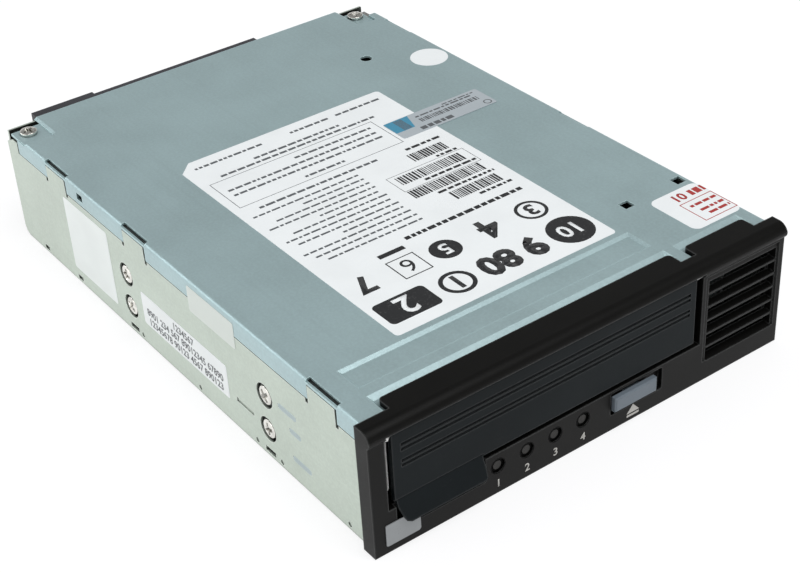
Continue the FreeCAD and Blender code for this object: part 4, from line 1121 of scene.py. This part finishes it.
@dataclass(frozen=True)
class PanScrew:
    """Cross-head pan screw with a domed head, a washer face and a threaded shank."""

    head_r: float
    head_h: float
    shank_r: float
    length: float
    sides: int = 40
    dome: float = 0.32
    dome_power: float = 0.6
    dome_steps: int = 8
    pitch: float = 0.5
    thread_depth: float = 0.16
    foot: float = 0.02
    cross_reach: float = 0.76
    cross_half: float = 0.72
    cross_depth: float = 0.95

    def lathe(self) -> List[Point2]:
        """Outline of the head from its crown down to its seat, as (radius, height)."""
        r, h = self.head_r, self.head_h
        angles = [math.radians(90 * i / self.dome_steps) for i in range(1, self.dome_steps + 1)]
        dome = [(r * math.sin(a) ** self.dome_power, h * (1 - self.dome + self.dome * math.cos(a)))
                for a in angles]
        return [*dome, (r * 0.985, h * 0.12), (r * 0.95, 0.0)]

    def thread(self) -> List[Point2]:
        """Outline of the shank's rings, as (radius, height)."""
        root = self.shank_r - self.thread_depth
        points = [(root, 0.0)]
        for i in range(max(1, int(self.length / self.pitch))):
            for radius, down in ((root, 0.2), (self.shank_r, 0.44), (root, 0.84)):
                points.append((radius, -(i + down) * self.pitch))
        return points + [(root, -self.length), (root * 0.6, -self.length - self.foot)]

    def turned(self) -> bmesh.types.BMesh:
        """Closed mesh of head and shank."""
        work = bmesh.new()
        top = work.verts.new((0, 0, self.head_h))
        foot = work.verts.new((0, 0, -self.length - self.foot))
        rings = []
        for radius, height in self.lathe() + self.thread():
            rings.append([work.verts.new((u, v, height)) for u, v in circle((0, 0), radius, self.sides)])
        for i in range(self.sides):
            j = (i + 1) % self.sides
            work.faces.new((top, rings[0][i], rings[0][j]))
            work.faces.new((foot, rings[-1][j], rings[-1][i]))
        for upper, lower in zip(rings, rings[1:]):
            bridge(work, lower, upper)
        bmesh.ops.recalc_face_normals(work, faces=work.faces)
        return work

    def cross(self) -> bmesh.types.BMesh:
        """Tapered cross that is cut out of the head."""
        work = bmesh.new()
        half, tip, reach = self.cross_half, self.cross_half * 0.8, self.head_r * self.cross_reach
        outline = [Matrix.Rotation(math.radians(90 * k), 2) @ Vector(point)
                   for k in range(4) for point in ((half, -half), (reach, -tip), (reach, tip))]
        low, high = ([work.verts.new((p.x * share, p.y * share, height)) for p in outline]
                     for share, height in ((0.45, self.head_h * (1 - self.cross_depth)),
                                           (1.05, self.head_h + 0.3)))
        work.faces.new(low[::-1])
        work.faces.new(high)
        bridge(work, low, high)
        bmesh.ops.recalc_face_normals(work, faces=work.faces)
        return work

    def carved(self, name: str) -> bpy.types.Mesh:
        """Finished screw mesh with its recess.

        Args:
            name: name of the mesh.

        Returns:
            The mesh in millimetres, head seated at nought, shank downwards.
        """
        body, cutter = (add_object(f"{name}_{tag}", mesh_data(f"{name}_{tag}", work))
                        for tag, work in (("body", self.turned()), ("cutter", self.cross())))
        carve = body.modifiers.new("recess", "BOOLEAN")
        carve.operation, carve.object, carve.solver = "DIFFERENCE", cutter, "EXACT"
        result = evaluated_mesh(body)
        for item in (body, cutter):
            data = item.data
            bpy.data.objects.remove(item)
            bpy.data.meshes.remove(data)
        return result


@dataclass
class Screws:
    """All visible screws, standing in for the plain solids."""

    cover: PanScrew = PanScrew(2.88, 1.38, 1.22, 3.3)
    cover_in: float = 2.9
    cover_down: float = 1.4
    cover_turns: Point2 = (20.0, 57.0)
    side: PanScrew = PanScrew(3.0, 1.5, 1.15, 1.25)
    side_in: float = 3.2
    side_seat: float = 1.6
    first_turn: float = 15.0
    turn_along: float = 44.0
    turn_up: float = 22.0
    sharp: float = 38.0

    def build(self) -> None:
        """Place the screws by the boxes of their solids."""
        low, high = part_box("cover_screws")
        middle, seat = (low.y + high.y) / 2, high.z - self.cover_down * MM
        xs = (low.x + self.cover_in * MM, high.x - self.cover_in * MM)
        places = [Matrix.Translation((x, middle, seat)) @ self.spin(turn)
                  for x, turn in zip(xs, self.cover_turns)]
        self.set_of("cover_screw_heads", self.cover, places, "cover_screws")
        low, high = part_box("side_mounting_screws")
        margin = self.side_in * MM
        outward = Vector((0, 0, 1)).rotation_difference(Vector((-1, 0, 0))).to_matrix().to_4x4()
        places = [Matrix.Translation((low.x + self.side_seat * MM, y, z)) @ outward
                  @ self.spin(self.first_turn + self.turn_along * i + self.turn_up * j)
                  for i, y in enumerate((low.y + margin, high.y - margin))
                  for j, z in enumerate((low.z + margin, high.z - margin))]
        self.set_of("side_screw_heads", self.side, places, "side_mounting_screws")

    @staticmethod
    def spin(degrees: float) -> Matrix:
        """Turn about a screw's own axis."""
        return Matrix.Rotation(math.radians(degrees), 4, "Z")

    def set_of(self, name: str, screw: PanScrew, places: Sequence[Matrix], node: str) -> None:
        """Join copies of one screw into a piece that stands for a node.

        Args:
            name: the piece's name.
            screw: what is copied.
            places: where each one goes.
            node: the solid it stands for.
        """
        pattern = screw.carved(name)
        joined = bmesh.new()
        for place in places:
            copy = pattern.copy()
            copy.transform(place @ Matrix.Scale(MM, 4))
            joined.from_mesh(copy)
            bpy.data.meshes.remove(copy)
        bpy.data.meshes.remove(pattern)
        limit = math.radians(self.sharp)
        for face in joined.faces:
            face.smooth = True
        for edge in joined.edges:
            edge.smooth = len(edge.link_faces) == 2 and edge.calc_face_angle(0.0) < limit
        piece = put_on_drive(joined, name, Matrix.Identity(4), Palette.SCREW)
        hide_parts(node)


@dataclass
class Solids:
    """The frame's own solids."""

    def build(self) -> None:
        """Give every solid its material."""
        for finish, names in NODE_FINISHES.items():
            for name in names:
                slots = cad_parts[name].data.materials
                if len(slots) == 0:
                    slots.append(finish.material)
                for i in range(len(slots)):
                    slots[i] = finish.material
                log.info("%s dressed in %s", name, finish.name.lower())


# ---------------------------------------------------------------- stage
@dataclass(frozen=True)
class Lamp:
    """Soft square lamp aimed at the drive, with its place and side in metres and power in watts."""

    name: str
    place: Triple
    size: float
    power: float
    colour: Colour = WHITE

    def build(self) -> None:
        """Set the lamp up."""
        light = bpy.data.lights.new(self.name, "AREA")
        light.size, light.energy, light.color = self.size, self.power, self.colour
        lamp = add_object(self.name, light)
        lamp.location = self.place
        lamp.rotation_euler = Vector(self.place).to_track_quat("Z", "Y").to_euler()


@dataclass
class Studio:
    """Floor, lamps, surroundings and camera."""

    azimuth: float = -34.51
    elevation: float = 34.09
    roll: float = -3.552
    lens: float = 72.9
    sensor: float = 36.0
    nearest: float = 0.01
    distance: float = 0.518
    target: Triple = (0.0020, -0.0144, 0.0042)
    floor_size: float = 12.0
    floor_steps: int = 8
    floor_gap: float = 0.2
    floor_colour: Colour = (0.8, 0.8, 0.8)
    shadow_colour: Colour = (0.30, 0.30, 0.31)
    floor_glow: float = 0.76
    fade: Point2 = (0.3, 1.3)
    overhead: Point2 = (0.02, 0.45)
    overhead_loss: float = 0.72
    fill: float = 0.50
    lamps: Tuple[Lamp, ...] = (Lamp("key_lamp", (0.15, -0.60, 1.30), 0.9, 9.0),
                               Lamp("left_lamp", (-1.2, 0.1, 0.45), 0.8, 3.0, (1.0, 0.99, 0.96)),
                               Lamp("rear_lamp", (-0.8, 1.0, 0.65), 0.6, 3.0, (0.96, 0.98, 1.0)))

    def build(self) -> None:
        """Make the stage."""
        self.floor()
        self.surroundings()
        for lamp in self.lamps:
            lamp.build()
        self.camera()
        bpy.context.scene.view_settings.view_transform = "Standard"

    @staticmethod
    def seen(shader: Shader) -> Sock:
        """One for rays from the camera, from mirrors and through glass."""
        kinds = [shader.add("LightPath", out=name)
                 for name in ("Is Camera Ray", "Is Glossy Ray", "Is Transmission Ray")]
        return kinds[0].over(kinds[1]).over(kinds[2])

    def floor(self) -> None:
        """Pale floor that keeps a light shadow near the drive and is plain white further off."""
        work = bmesh.new()
        grid = bmesh.ops.create_grid(work, x_segments=self.floor_steps, y_segments=self.floor_steps,
                                     size=self.floor_size / 2)
        bmesh.ops.translate(work, verts=grid["verts"], vec=(0, 0, CAD_BOX[0][2] - self.floor_gap * MM))
        shader = Shader("floor_white")
        plain = shader.add("BsdfDiffuse", None, {"Color": self.floor_colour})
        shadow = shader.add("BsdfDiffuse", None, {"Color": self.shadow_colour})
        glow = shader.add("Emission", None, {"Color": WHITE, "Strength": self.floor_glow})
        near = shader.add("AddShader", None, {0: shadow, 1: glow})
        white = shader.add("Emission", None, {"Color": WHITE, "Strength": 1.0})
        away = shader.add("VectorMath", {"operation": "LENGTH"}, {0: shader.place}, out="Value")
        shown = shader.add("MixShader", None, {0: away.band(*self.fade), 1: near, 2: white})
        shader.close(shader.add("MixShader", None, {0: self.seen(shader), 1: plain, 2: shown}))
        floor = add_object("floor", mesh_data("floor", work))
        floor.data.materials.append(shader.material)

    def surroundings(self) -> None:
        """White surroundings: plain to look at, dimmer overhead in mirrors, half as bright as a light."""
        world = bpy.data.worlds.new("surroundings")
        bpy.context.scene.world = world
        world.use_nodes = True
        nodes = NodeTree(world.node_tree)
        toward = nodes.add("TexCoord", out="Generated")
        height = nodes.add("SeparateXYZ", None, {0: toward}, out=2)
        camera = nodes.add("LightPath", out="Is Camera Ray")
        glossy = nodes.add("LightPath", out="Is Glossy Ray")
        mirror = 1.0 - height.band(*self.overhead) * self.overhead_loss
        strength = camera + (1.0 - camera) * (glossy * mirror + (1.0 - glossy) * self.fill)
        light = nodes.add("Background", None, {"Color": WHITE, "Strength": strength})
        nodes.close(light, "OutputWorld")

    def camera(self) -> None:
        """Camera looking down on the front left corner."""
        data = bpy.data.cameras.new("view_camera")
        data.lens, data.sensor_width, data.clip_start = self.lens, self.sensor, self.nearest
        camera = add_object("view_camera", data)
        az, el = math.radians(self.azimuth), math.radians(self.elevation)
        back = Vector((math.sin(az) * math.cos(el), -math.cos(az) * math.cos(el), math.sin(el)))
        camera.rotation_mode = "QUATERNION"
        camera.rotation_quaternion = (back.to_track_quat("Z", "Y")
                                      @ Quaternion((0, 0, 1), math.radians(self.roll)))
        camera.location = Vector(self.target) + back * self.distance
        bpy.context.scene.camera = camera


def main() -> None:
    """Dress the frame, add the surface pieces and set the stage."""
    logging.basicConfig(level=logging.INFO, format="%(name)s: %(message)s")
    for maker in (Solids(), MainLabel(), SilverStrip(), CornerStickers(), SideLabels(), BezelMarks(),
                  Screws(), Studio()):
        maker.build()
        log.info("%s built", type(maker).__name__)


if __name__ == "__main__":
    main()
